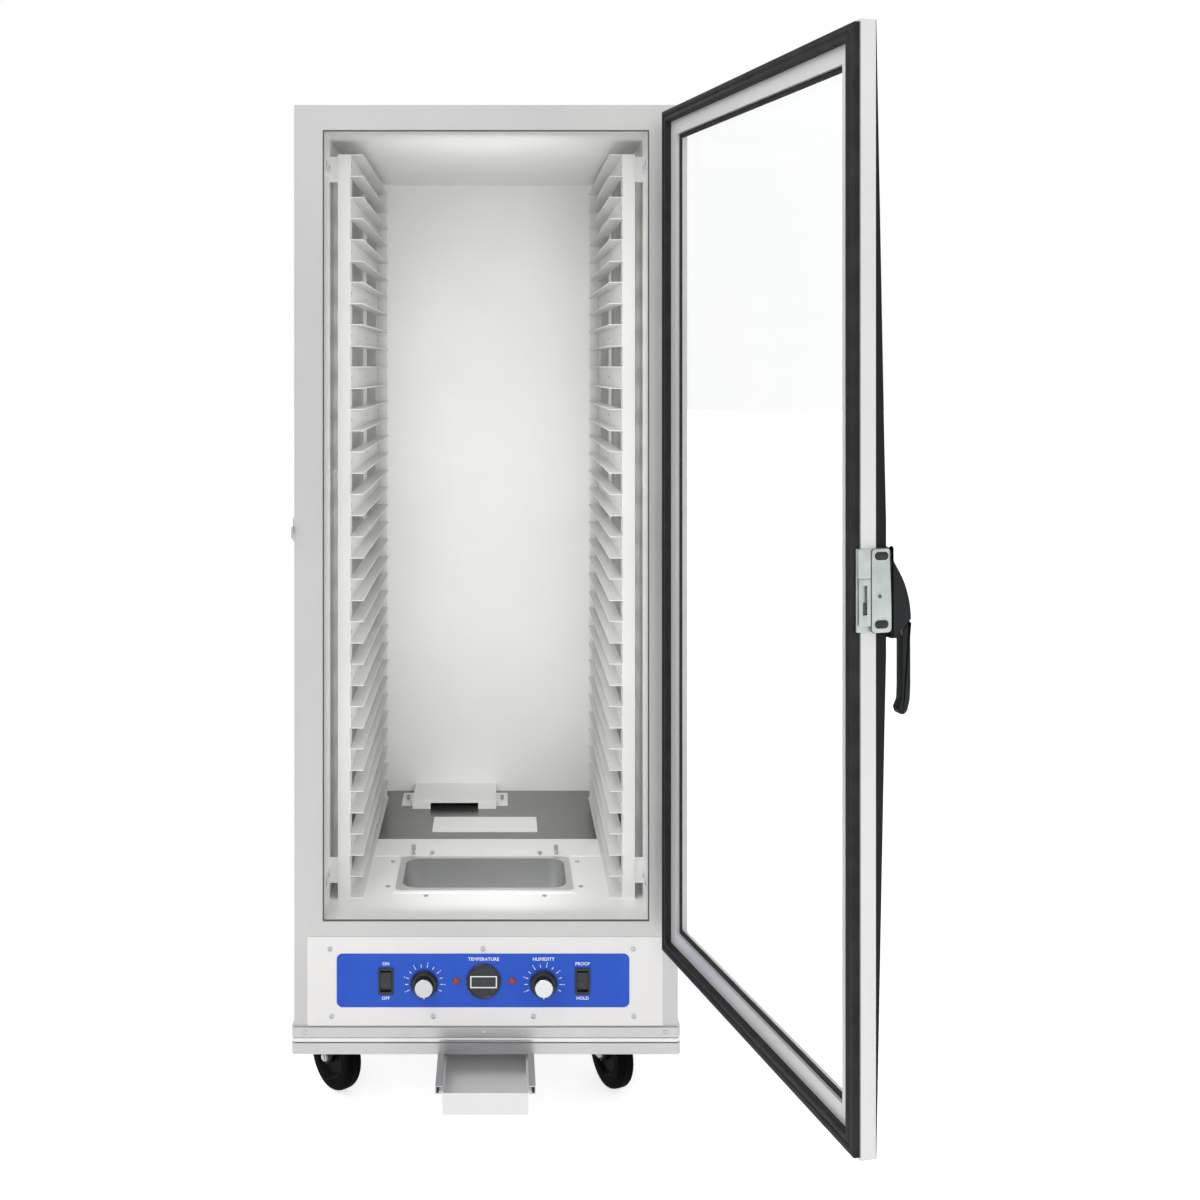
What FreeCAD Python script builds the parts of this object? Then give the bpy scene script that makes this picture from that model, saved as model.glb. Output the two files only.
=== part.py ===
import FreeCAD, Part
import os
import Sketcher
from FreeCAD import Placement, Rotation, Vector

# A heated holding cabinet on four casters, with a glass door that stands open.
# The origin is the centre of the chassis underside, the plane the casters bolt to.
# +Z is up, -Y is the front and +X is the hinge side. All lengths are millimetres.

DIMENSIONS = {
    # outer body
    "body_width": "660",
    "body_depth": "796",
    "body_height": "1631",
    "skin": "1.2",
    "front_sheet": "2",
    "stile_width": "49",
    "head_height": "43",
    "floor_height": "226.5",
    "back_space": "46",
    "liner_drop": "26",
    "floor_sheet": "1.5",
    # chassis tray
    "band_height": "46",
    "band_overhang": "4",
    "band_wall": "8",
    "band_floor": "3",
    "groove_low": "19",
    "groove_high": "29",
    "groove_depth": "3",
    # floor panels
    "front_floor_length": "422",
    "air_hole_width": "120",
    "air_hole_length": "70",
    "louvre_width": "120",
    "louvre_height": "5",
    "louvre_pitch": "15",
    "louvre_rows": "6",
    "louvre_lowest": "75",
    "louvre_offset": "170",
    # racks
    "slide_pitch": "76.2",
    "slide_height": "40",
    "slide_sheet": "1.5",
    "slide_reach": "60",
    "rack_web_space": "34.3",
    "rack_flange_space": "14.5",
    "rack_front": "105",
    "rack_back_space": "50",
    "rack_upright_length": "40",
    "rack_stop_reach": "57",
    "rack_post": "378",
    "rack_post_length": "58",
    "bracket_front": "25",
    "bracket_length": "125",
    "bracket_height": "16",
    "bracket_tab_height": "46",
    "bracket_tab_reach": "17.5",
    "bracket_tab_gap": "0.4",
    "bracket_sheet": "1.5",
    "bracket_upper_space": "53",
    "bracket_lower_rise": "50.5",
    # water pan
    "pan_x": "-4",
    "pan_y": "228",
    "pan_rim_inset": "4",
    "pan_rim_length": "176",
    "pan_flange": "10",
    "pan_depth": "65",
    "pan_corner": "30",
    "pan_rim_corner": "12",
    "pan_sheet": "1.2",
    "pan_rack_space": "54.5",
    "pan_frame_length": "194",
    "pan_clearance": "4",
    # air duct cover
    "duct_rack_space": "32.5",
    "duct_width": "181",
    "duct_length": "131",
    "duct_height": "17",
    "duct_slot_width": "103",
    "duct_slot_height": "13",
    "duct_ear_width": "25",
    "duct_ear_length": "90",
    # control panel
    "plate_margin": "24.5",
    "plate_x": "-1.5",
    "plate_low": "48",
    "plate_high": "200",
    "plate_sheet": "1.5",
    "screw_inset_top": "20",
    "screw_inset_low": "16",
    "control_hole_margin": "25.5",
    "control_hole_low": "76",
    "control_hole_high": "172",
    "decal_margin": "54",
    "decal_height": "92",
    "decal_x": "-5",
    "decal_z": "126",
    "decal_sheet": "0.8",
    "decal_corner": "10",
    "rocker_left_x": "-172",
    "rocker_right_x": "166",
    "rocker_z": "125",
    "rocker_bezel_width": "26",
    "rocker_bezel_height": "46",
    "rocker_bezel_sheet": "2.5",
    "rocker_body_width": "22.4",
    "rocker_body_height": "40",
    "rocker_body_depth": "28",
    "rocker_width": "18.4",
    "rocker_height": "33",
    "rocker_back": "4",
    "rocker_edge": "1.5",
    "rocker_crest": "4.4",
    "rocker_tilt": "8",
    "rocker_gap": "0.3",
    "rocker_end_gap": "1.5",
    "rocker_pocket": "12",
    "knob_left_x": "-106",
    "knob_right_x": "99",
    "knob_z": "121",
    "knob_radius": "23.4",
    "knob_shoulder": "20.5",
    "knob_skirt": "10",
    "knob_cap_radius": "15.5",
    "knob_cap_height": "12",
    "knob_gap": "0.5",
    "knob_shaft": "3",
    "knob_shaft_length": "22",
    "pointer_width": "2.4",
    "pointer_height": "1",
    "shaft_hole": "4.5",
    "thermostat_width": "36",
    "thermostat_depth": "28",
    "lamp_left_x": "-51",
    "lamp_right_x": "45",
    "lamp_z": "125",
    "lamp_radius": "6.4",
    "lamp_height": "4",
    "lamp_body": "5.4",
    "lamp_depth": "18",
    "meter_x": "-4",
    "meter_z": "125",
    "meter_radius": "30",
    "meter_body": "26.5",
    "meter_depth": "30",
    "meter_height": "3",
    "display_width": "46",
    "display_height": "21",
    "display_rim": "2.2",
    "display_sheet": "1.4",
    "running_gap": "0.05",
    "hole_gap": "0.4",
    # screws
    "screw_radius": "2.2",
    "screw_head": "4.5",
    "screw_rise": "2",
    "screw_length": "5",
    "clip_radius": "4.2",
    "clip_height": "19",
    # door, measured when closed
    "door_free_margin": "4",
    "door_hinge_margin": "5",
    "door_plate_gap": "1.5",
    "door_top_margin": "20.5",
    "door_inner": "10.3",
    "door_thickness": "20.4",
    "door_bow": "14.2",
    "door_stile": "47",
    "pivot_reach": "3",
    "pivot_y": "44",
    "open_angle": "104.7",
    "gasket_inset": "3",
    "gasket_width": "20",
    "gasket_height": "10",
    "glass_recess": "7",
    "glass_sheet": "5",
    "seal_width": "8",
    "seal_height": "2",
    "trim_width": "14",
    "pane_sheet": "4",
    "hinge_height": "75",
    "hinge_radius": "6",
    "hinge_pin": "3",
    "hinge_sheet": "3",
    "hinge_body_leaf": "60",
    "hinge_end": "110",
    "hinge_gap": "0.3",
    # latch and handle
    "latch_z": "904",
    "latch_unit": "108",
    "case_low": "854",
    "case_high": "957",
    "case_front": "-2.3",
    "case_cover_back": "24.9",
    "case_back": "41",
    "case_block": "13",
    "case_upper_low": "921",
    "case_lip_low": "862",
    "latch_cheek": "3.4",
    "latch_slot": "4.2",
    "latch_cover": "3",
    "hook_gap": "0.5",
    "latch_pin_y": "14",
    "latch_pin_z": "899",
    "latch_pin": "3",
    "hook_hub": "9",
    "handle_gap": "0.3",
    "housing_slot_top": "905",
    "grip_width": "18",
    "grip_inset": "1.5",
    "keeper_reach": "20",
    "keeper_lip": "5",
    "keeper_sheet": "3",
    "keeper_low": "887",
    "keeper_nose_low": "896",
    "keeper_high": "906",
    "keeper_plate_low": "880",
    "keeper_plate_high": "920",
    "keeper_length": "55",
    # casters
    "caster_height": "157",
    "caster_side_space": "80",
    "caster_end_space": "160",
    "trail": "46",
    "wheel_radius": "63.5",
    "wheel_width": "32",
    "tread_round": "7",
    "axle_radius": "6",
    "hub_radius": "13",
    "hub_reach": "2",
    "fork_gap": "0.3",
    "fork_leg": "4",
    "fork_inner": "18.6",
    "fork_disc": "32",
    "fork_disc_height": "8",
    "fork_leg_end": "15",
    "kingpin": "8",
    "caster_plate_width": "100",
    "caster_plate_length": "85",
    "caster_plate_sheet": "4",
    "caster_hole_x": "76",
    "caster_hole_y": "60",
    "bolt_radius": "4",
    "bolt_head": "6.5",
    "bolt_head_height": "5",
    "front_left_heading": "130",
    "front_right_heading": "113",
    "back_left_heading": "84",
    "back_right_heading": "97",
    "pedal_pivot_x": "76",
    "pedal_pivot_z": "27",
    "pedal_pin": "3",
    "pedal_hub": "6",
    "pedal_length": "44",
    "pedal_drop": "12",
    "pedal_sheet": "5",
    # drip tray
    "tray_width": "141",
    "tray_front": "115",
    "tray_length": "260",
    "tray_sheet": "1.5",
    "tray_bottom": "45",
    "tray_flange": "6",
    "rail_outer": "82.5",
    "rail_lip": "11",
    "rail_front": "111",
    "rail_depth": "13",
    "rail_sheet": "1.5",
    # heating and air
    "heater_tube": "4",
    "heater_spread": "40",
    "heater_length": "180",
    "heater_clearance": "6",
    "heater_stand": "60",
    "housing_width": "190",
    "housing_length": "128",
    "housing_height": "62",
    "motor_radius": "36",
    "motor_height": "70",
    "motor_top_gap": "4",
    "fan_back_space": "70",
    "fan_radius": "48",
    "fan_height": "28",
    "fan_disc": "2",
    "fan_shaft": "4",
    "fan_hub": "12",
    "blade_length": "14",
    "blade_sheet": "1.6",
    "blade_count": "12",
    "ring_radius": "54",
    "inlet_x": "200",
    "inlet_z": "90",
    "inlet_width": "50",
    "inlet_height": "28",
    "inlet_flange": "3",
    "inlet_body_width": "32",
    "inlet_body_height": "24",
    "inlet_depth": "22",
    "inlet_wall": "3",
    "inlet_pin": "2",
}

doc = FreeCAD.newDocument("holding_cabinet")
sheet = doc.addObject("Spreadsheet::Sheet", "sizes")
for row, (alias, text) in enumerate(DIMENSIONS.items(), 1):
    sheet.set("A%d" % row, alias)
    sheet.set("B%d" % row, text)
    sheet.setAlias("B%d" % row, alias)
doc.recompute()


class Size:
    """A length that keeps both its value and the sheet expression that gives it."""

    def __init__(self, text, value):
        self.text = text
        self.value = value

    def join(self, sign, other, value):
        return Size("(%s %s %s)" % (self.text, sign, other.text), value)

    def __add__(self, other):
        other = as_size(other)
        return self.join("+", other, self.value + other.value)

    def __sub__(self, other):
        other = as_size(other)
        return self.join("-", other, self.value - other.value)

    def __mul__(self, other):
        other = as_size(other)
        return self.join("*", other, self.value * other.value)

    def __truediv__(self, other):
        other = as_size(other)
        return self.join("/", other, self.value / other.value)

    def __neg__(self):
        return Size("(0 - %s)" % self.text, -self.value)

    __radd__ = __add__
    __rmul__ = __mul__


def as_size(number):
    if isinstance(number, Size):
        return number
    return Size(repr(number), float(number))


class Sheet:
    """Reads a cell of the sheet by its alias, as in d.body_width."""

    def __getattr__(self, alias):
        return Size("sizes." + alias, float(getattr(sheet, alias)))


d = Sheet()
SUB_PARTS = []


def bind(thing, prop, size):
    """Ties a property of an object to the sheet."""
    thing.setExpression(prop, as_size(size).text)


def place(thing, x, y, z, turn=None):
    """Moves an object to a bound place; turn is a fixed rotation."""
    if turn is not None:
        thing.Placement = Placement(Vector(), turn)
    bind(thing, "Placement.Base.x", x)
    bind(thing, "Placement.Base.y", y)
    bind(thing, "Placement.Base.z", z)
    return thing


def swing(thing, x, y, z, angle):
    """Places an object on a vertical axis and turns it about it by a bound angle."""
    thing.Placement = Placement(Vector(), Rotation(Vector(0, 0, 1), as_size(angle).value))
    bind(thing, "Placement.Rotation.Angle", angle)
    return place(thing, x, y, z)


def box(x, y, z, dx, dy, dz):
    """A block from its lowest corner and its three lengths."""
    solid = doc.addObject("Part::Box", "block")
    bind(solid, "Length", dx)
    bind(solid, "Width", dy)
    bind(solid, "Height", dz)
    return place(solid, x, y, z)


ALONG_X = Rotation(Vector(0, 1, 0), 90)
ALONG_Y = Rotation(Vector(1, 0, 0), -90)
ALONG_Z = Rotation()


def rod(turn, x, y, z, radius, length):
    """A cylinder that starts at a point and runs along an axis."""
    solid = doc.addObject("Part::Cylinder", "rod")
    bind(solid, "Radius", radius)
    bind(solid, "Height", length)
    return place(solid, x, y, z, turn)


def fuse(*solids):
    joined = doc.addObject("Part::MultiFuse", "joined")
    joined.Shapes = list(solids)
    joined.Refine = True
    return joined


def group(*solids):
    """Keeps several solids apart in one sub-part."""
    together = doc.addObject("Part::Compound", "group")
    together.Links = list(solids)
    return together


def cut(base, *tools):
    result = doc.addObject("Part::Cut", "cut")
    result.Base = base
    result.Tool = tools[0] if len(tools) == 1 else group(*tools)
    return result


def rect(x0, x1, y0, y1):
    return [(x0, y0), (x1, y0), (x1, y1), (x0, y1)]


def middle_rect(x, y, width, height):
    return rect(x - width / 2, x + width / 2, y - height / 2, y + height / 2)


def circle(x, y, radius):
    return ("circle", x, y, radius)


def pin_point(sketch, index, end, x, y):
    """Holds one point of a sketch at a bound distance from the sketch's origin."""
    for kind, size in (("DistanceX", x), ("DistanceY", y)):
        value = as_size(size).value
        number = sketch.addConstraint(Sketcher.Constraint(kind, -1, 1, index, end, value))
        if isinstance(size, Size):
            sketch.setExpression("Constraints[%d]" % number, size.text)


def draw(sketch, loops):
    """Draws closed outlines whose corners, centres and radii follow the sheet."""
    for loop in loops:
        first = sketch.GeometryCount
        if loop[0] == "circle":
            _, x, y, radius = loop
            centre = Vector(as_size(x).value, as_size(y).value, 0)
            sketch.addGeometry(Part.Circle(centre, Vector(0, 0, 1), as_size(radius).value))
            pin_point(sketch, first, 3, x, y)
            rule = Sketcher.Constraint("Radius", first, as_size(radius).value)
            number = sketch.addConstraint(rule)
            sketch.setExpression("Constraints[%d]" % number, as_size(radius).text)
            continue
        corners = [Vector(as_size(x).value, as_size(y).value, 0) for x, y in loop]
        for index, corner in enumerate(corners):
            sketch.addGeometry(Part.LineSegment(corner, corners[(index + 1) % len(corners)]))
        for index, (x, y) in enumerate(loop):
            after = first + (index + 1) % len(corners)
            sketch.addConstraint(Sketcher.Constraint("Coincident", first + index, 2, after, 1))
            pin_point(sketch, first + index, 1, x, y)


PLANES = {"Z": "XY_Plane", "Y": "XZ_Plane", "X": "YZ_Plane"}


def new_sketch(body, axis, start, loops):
    """A sketch on an origin plane of its body, moved along the plane's axis to start."""
    sketch = body.newObject("Sketcher::SketchObject", "outline")
    for feature in body.Origin.OriginFeatures:
        if feature.Role == PLANES[axis]:
            sketch.AttachmentSupport = [(feature, "")]
    sketch.MapMode = "FlatFace"
    bind(sketch, "AttachmentOffset.Base.z", -as_size(start) if axis == "Y" else start)
    draw(sketch, loops)
    return sketch


def prism(axis, start, length, *loops):
    """A padded outline that runs along +axis; loops inside the first one are holes."""
    body = doc.addObject("PartDesign::Body", "body")
    pad = body.newObject("PartDesign::Pad", "pad")
    pad.Profile = new_sketch(body, axis, start, loops)
    pad.Reversed = axis == "Y"
    bind(pad, "Length", length)
    body.Tip = pad
    return body


def pocket(body, axis, start, length, *loops):
    """Cuts outlines from a body, along +axis from start."""
    hole = body.newObject("PartDesign::Pocket", "pocket")
    hole.Profile = new_sketch(body, axis, start, loops)
    hole.Reversed = axis != "Y"
    bind(hole, "Length", length)
    body.Tip = hole
    return body


PARALLEL_SHARE = 0.999


def round_edges(body, axis, radius, wanted=None):
    """Fillets the straight edges that run along one axis."""
    doc.recompute()
    base = body.Tip
    names = []
    for number, edge in enumerate(base.Shape.Edges, 1):
        if not isinstance(edge.Curve, Part.Line):
            continue
        along = abs(edge.Curve.Direction.dot(axis)) > PARALLEL_SHARE
        if along and (wanted is None or wanted(edge.CenterOfMass)):
            names.append("Edge%d" % number)
    fillet = body.newObject("PartDesign::Fillet", "fillet")
    fillet.Base = (base, names)
    bind(fillet, "Radius", radius)
    body.Tip = fillet
    return body


def turned(points):
    """A solid of revolution about its own Z axis, from (radius, height) points."""
    body = doc.addObject("PartDesign::Body", "body")
    profile = new_sketch(body, "Y", 0, [points])
    turn = body.newObject("PartDesign::Revolution", "turn")
    turn.Profile = profile
    turn.ReferenceAxis = (profile, ["V_Axis"])
    turn.Angle = 360
    body.Tip = turn
    return body


def sub_part(label, thing):
    """Names a finished sub-part, so that it is checked and written to its own file."""
    thing.Label = label
    SUB_PARTS.append(thing)
    return thing


X_AXIS = Vector(1, 0, 0)
Y_AXIS = Vector(0, 1, 0)
Z_AXIS = Vector(0, 0, 1)

half_width = d.body_width / 2
front = -d.body_depth / 2
back = d.body_depth / 2
opening_width = d.body_width - d.stile_width * 2
half_opening = opening_width / 2
opening_top = d.body_height - d.head_height
cavity_depth = d.body_depth - d.back_space
cavity_back = front + cavity_depth
floor = d.floor_height
pan_centre_y = front + d.pan_y
fan_centre_y = cavity_back - d.fan_back_space
decal_front = front - d.plate_sheet - d.decal_sheet
tray_half = d.tray_width / 2
slide_tip = half_opening - d.slide_reach
pan_frame_width = (slide_tip - d.pan_rack_space) * 2
pan_rim_width = pan_frame_width - d.pan_rim_inset * 2
pan_width = pan_rim_width - d.pan_flange * 2
pan_length = d.pan_rim_length - d.pan_flange * 2
duct_x = d.duct_rack_space + d.duct_ear_width + d.duct_width / 2 - slide_tip
plate_width = d.body_width - d.plate_margin * 2
control_hole_width = plate_width - d.control_hole_margin * 2
decal_width = plate_width - d.decal_margin * 2
caster_x = half_width - d.caster_side_space
caster_y = back - d.caster_end_space

upper_row = d.plate_high - d.screw_inset_top
lower_row = d.plate_low + d.screw_inset_low
UPPER_SCREW_SHARES = [-0.4386, -0.0082, 0.4141]
LOWER_SCREW_SHARES = [-0.4337, -0.1489, 0.1342, 0.4157]
SCREWS_ON_PLATE = [(plate_width * share, upper_row) for share in UPPER_SCREW_SHARES]
SCREWS_ON_PLATE += [(plate_width * share, lower_row) for share in LOWER_SCREW_SHARES]


def chassis():
    """The base tray: a band round the bottom with a groove, and the caster bolt holes."""
    half_x = half_width + d.band_overhang
    half_y = d.body_depth / 2 + d.band_overhang
    inner_x = half_x - d.band_wall
    inner_y = half_y - d.band_wall
    tray = prism("Z", 0, d.band_height, rect(-half_x, half_x, -half_y, half_y))
    round_edges(tray, Z_AXIS, d.band_wall)
    inside = rect(-inner_x, inner_x, -inner_y, inner_y)
    pocket(tray, "Z", d.band_floor, d.band_height, inside)
    holes = []
    for x in (-caster_x, caster_x):
        for y in (-caster_y, caster_y):
            for dx, dy in CORNER_SHARES:
                hole_x = x + d.caster_hole_x * dx
                hole_y = y + d.caster_hole_y * dy
                holes.append(circle(hole_x, hole_y, d.bolt_radius + d.running_gap * 2))
    pocket(tray, "Z", 0, d.band_floor, *holes)
    groove_x = half_x - d.groove_depth
    groove_y = half_y - d.groove_depth
    outside_x = half_x + d.groove_depth
    outside_y = half_y + d.groove_depth
    ring = prism(
        "Z",
        d.groove_low,
        d.groove_high - d.groove_low,
        rect(-outside_x, outside_x, -outside_y, outside_y),
        rect(-groove_x, groove_x, -groove_y, groove_y),
    )
    screw_holes = [
        rod(ALONG_Y, x, -outside_y, band_screw_z, d.screw_radius, d.band_wall * 2)
        for x in BAND_SCREWS
    ]
    return cut(tray, ring, *screw_holes)


CORNER_SHARES = [(-0.5, -0.5), (0.5, -0.5), (0.5, 0.5), (-0.5, 0.5)]
BAND_SCREWS = [-half_width * 0.9424, -half_width * 0.0091, half_width * 0.9333]
band_screw_z = (d.groove_high + d.band_height) / 2


def screw_loops(radius):
    return [circle(x, z, radius) for x, z in SCREWS_ON_PLATE]


def front_frame():
    """The face of the body: one sheet round the cavity and round the control opening."""
    return prism(
        "Y",
        front,
        d.front_sheet,
        rect(-half_width, half_width, d.band_height, d.body_height),
        rect(-half_opening, half_opening, floor, opening_top),
        rect(
            -control_hole_width / 2,
            control_hole_width / 2,
            d.control_hole_low,
            d.control_hole_high,
        ),
        *screw_loops(d.screw_radius),
    )


def body_panels():
    depth = d.body_depth - d.front_sheet - d.skin
    start = front + d.front_sheet
    height = d.body_height - d.skin - d.band_height
    left = box(-half_width, start, d.band_height, d.skin, depth, height)
    right = box(half_width - d.skin, start, d.band_height, d.skin, depth, height)
    sub_part("side_panels", group(left, right))
    top_depth = d.body_depth - d.front_sheet
    top_z = d.body_height - d.skin
    sub_part("top_panel", box(-half_width, start, top_z, d.body_width, top_depth, d.skin))
    back_y = back - d.skin
    upper = d.body_height - d.skin - floor
    sub_part("back_panel", box(-half_width, back_y, floor, d.body_width, d.skin, upper))


def rear_panel():
    """The service panel behind the base compartment, with two banks of louvre slots."""
    slots = []
    for x in (-d.louvre_offset / 2, d.louvre_offset / 2):
        for number in range(int(d.louvre_rows.value)):
            z = d.louvre_lowest + d.louvre_pitch * number
            slots.append(middle_rect(x, z, d.louvre_width, d.louvre_height))
    inlet = middle_rect(
        d.inlet_x,
        d.inlet_z,
        d.inlet_body_width + d.hole_gap * 2,
        d.inlet_body_height + d.hole_gap * 2,
    )
    outline = rect(-half_width, half_width, d.band_height, floor)
    return prism("Y", back - d.skin, d.skin, outline, inlet, *slots)


def liners():
    start = front + d.front_sheet
    length = cavity_depth - d.front_sheet
    low = floor - d.liner_drop
    height = opening_top - low
    left = box(-half_opening - d.skin, start, low, d.skin, length, height)
    right = box(half_opening, start, low, d.skin, length, height)
    width = opening_width + d.skin * 2
    roof = box(-half_opening - d.skin, start, opening_top, width, length, d.skin)
    rear = box(
        -half_opening - d.skin, cavity_back, low, width, d.skin, height + d.skin
    )
    return group(left, right, roof, rear)


def insulation():
    start = front + d.front_sheet
    length = cavity_depth - d.front_sheet
    thickness = half_width - half_opening - d.skin * 2
    height = opening_top - floor + d.skin
    left = box(-half_width + d.skin, start, floor, thickness, length, height)
    right = box(half_opening + d.skin, start, floor, thickness, length, height)
    inside_width = d.body_width - d.skin * 2
    roof_z = opening_top + d.skin
    roof_height = d.body_height - d.skin - roof_z
    roof = box(-half_width + d.skin, start, roof_z, inside_width, length, roof_height)
    rear_y = cavity_back + d.skin
    rear_length = back - d.skin - rear_y
    rear_height = d.body_height - d.skin - floor
    rear = box(-half_width + d.skin, rear_y, floor, inside_width, rear_length, rear_height)
    return group(left, right, roof, rear)


FLOOR_SCREW_SHARES = [
    (-0.531, -0.336),
    (-0.531, 0.336),
    (0.531, -0.336),
    (0.531, 0.336),
    (-0.315, -0.57),
    (0.325, -0.57),
]
CLIP_SHARES = [-0.42, 0.415, -0.31, 0.32]


def floor_screw_points():
    """Screws round the pan frame, as shares of the frame's own size."""
    points = []
    for share_x, share_y in FLOOR_SCREW_SHARES:
        x = d.pan_x + pan_frame_width * share_x
        y = pan_centre_y + d.pan_frame_length * share_y
        points.append((x, y))
    return points


def clip_points():
    """Clips behind the pan frame, as shares of its width."""
    y = pan_centre_y + d.pan_frame_length / 2 + d.clip_radius * 2
    return [(d.pan_x + pan_frame_width * share, y) for share in CLIP_SHARES]


def floors():
    low = floor - d.floor_sheet
    start = front + d.front_sheet
    middle = front + d.front_floor_length
    opening = middle_rect(
        d.pan_x,
        pan_centre_y,
        pan_width + d.pan_clearance * 2,
        pan_length + d.pan_clearance * 2,
    )
    holes = [circle(x, y, d.screw_radius) for x, y in floor_screw_points() + clip_points()]
    outline = rect(-half_opening, half_opening, start, middle)
    sub_part("floor_front", prism("Z", low, d.floor_sheet, outline, opening, *holes))
    air = middle_rect(duct_x, fan_centre_y, d.air_hole_width, d.air_hole_length)
    ears = [circle(x, y, d.screw_radius) for x, y in ear_points()]
    outline = rect(-half_opening, half_opening, middle, cavity_back)
    sub_part("floor_rear", prism("Z", low, d.floor_sheet, outline, air, *ears))


def ear_points():
    reach = d.duct_width / 2 + d.duct_ear_width / 2
    y = cavity_back - d.duct_length / 2
    return [(duct_x - reach, y), (duct_x + reach, y)]


def pan_frame():
    opening = middle_rect(
        d.pan_x,
        pan_centre_y,
        pan_width + d.pan_clearance * 2,
        pan_length + d.pan_clearance * 2,
    )
    outline = middle_rect(d.pan_x, pan_centre_y, pan_frame_width, d.pan_frame_length)
    return prism("Z", floor, d.pan_sheet, outline, opening)


def rounded_block(outline, start, length, radius):
    return round_edges(prism("Z", start, length, outline), Z_AXIS, radius)


def water_pan():
    """A rimmed pan with rounded corners that hangs by its rim on the frame."""
    rim_z = floor + d.pan_sheet
    low = rim_z + d.pan_sheet - d.pan_depth
    outer = middle_rect(d.pan_x, pan_centre_y, pan_width, pan_length)
    inner_width = pan_width - d.pan_sheet * 2
    inner_length = pan_length - d.pan_sheet * 2
    inner = middle_rect(d.pan_x, pan_centre_y, inner_width, inner_length)
    rim = middle_rect(d.pan_x, pan_centre_y, pan_rim_width, d.pan_rim_length)
    tub = rounded_block(outer, low, d.pan_depth, d.pan_corner)
    edge = rounded_block(rim, rim_z, d.pan_sheet, d.pan_rim_corner)
    hollow_radius = d.pan_corner - d.pan_sheet
    hollow = rounded_block(inner, low + d.pan_sheet, d.pan_depth, hollow_radius)
    return cut(fuse(tub, edge), hollow)


def duct_cover():
    """A low folded cover over the air hole, with a slot at the front and two ears."""
    start = cavity_back - d.duct_length
    half = d.duct_width / 2
    blank = box(duct_x - half, start, floor, d.duct_width, d.duct_length, d.duct_height)
    inner_width = d.duct_width - d.skin * 2
    inner_height = d.duct_height - d.skin
    inside = box(
        duct_x - half + d.skin,
        start + d.skin,
        floor,
        inner_width,
        d.duct_length,
        inner_height,
    )
    slot = box(
        duct_x - d.duct_slot_width / 2,
        start,
        floor,
        d.duct_slot_width,
        d.skin,
        d.duct_slot_height,
    )
    shell = cut(blank, inside, slot)
    ear_y = cavity_back - (d.duct_length + d.duct_ear_length) / 2
    left_x = duct_x - half - d.duct_ear_width
    width = d.duct_ear_width
    left = box(left_x, ear_y, floor, width, d.duct_ear_length, d.skin)
    right = box(duct_x + half, ear_y, floor, width, d.duct_ear_length, d.skin)
    holes = [
        rod(ALONG_Z, x, y, floor, d.screw_radius, d.skin) for x, y in ear_points()
    ]
    return cut(fuse(shell, left, right), *holes)


def screw(turn, x, y, z, outward, head=None, rise=None):
    """A cheese-head screw: outward is +1 or -1 along the axis that turn gives."""
    radius = d.screw_head if head is None else head
    height = d.screw_rise if rise is None else rise
    axis = turn.multVec(Z_AXIS)
    move = height if outward > 0 else -height
    depth = -d.screw_length if outward > 0 else d.screw_length

    def at(shift):
        return x + shift * axis.x, y + shift * axis.y, z + shift * axis.z

    head_x, head_y, head_z = at(as_size(0) if outward > 0 else move)
    top = rod(turn, head_x, head_y, head_z, radius, height)
    shank_x, shank_y, shank_z = at(depth if outward > 0 else as_size(0))
    shank = rod(turn, shank_x, shank_y, shank_z, d.screw_radius, d.screw_length)
    return fuse(top, shank)


def panel_screws():
    """Every visible screw, and the tall clips behind the water pan."""
    pieces = []
    plate_face = front - d.plate_sheet
    for x, z in SCREWS_ON_PLATE:
        pieces.append(screw(ALONG_Y, x, plate_face, z, -1))
    band_face = front - d.band_overhang
    for x in BAND_SCREWS:
        pieces.append(screw(ALONG_Y, x, band_face, band_screw_z, -1))
    for x, y in floor_screw_points():
        pieces.append(screw(ALONG_Z, x, y, floor, 1))
    for number, (x, y) in enumerate(clip_points()):
        rise = d.clip_height if number < 2 else d.clip_height / 3
        pieces.append(screw(ALONG_Z, x, y, floor, 1, d.clip_radius, rise))
    for x, y in ear_points():
        pieces.append(screw(ALONG_Z, x, y, floor + d.skin, 1, d.clip_radius, d.clip_height / 2))
    return group(*pieces)


def across(side, near, far):
    """The low edge and the width of a span from near to far, on one side of the middle."""
    low = near if side > 0 else -far
    return low, far - near


rack_web = half_opening - d.rack_web_space
rack_flange = half_opening - d.rack_flange_space
rack_stop_tip = half_opening - d.rack_stop_reach
rack_back = cavity_depth - d.rack_back_space
slide_room = opening_top - floor - d.slide_height
slide_count = int(slide_room.value / d.slide_pitch.value) + 1
bracket_upper = opening_top - d.bracket_upper_space
bracket_lower = floor + d.bracket_lower_rise


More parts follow.
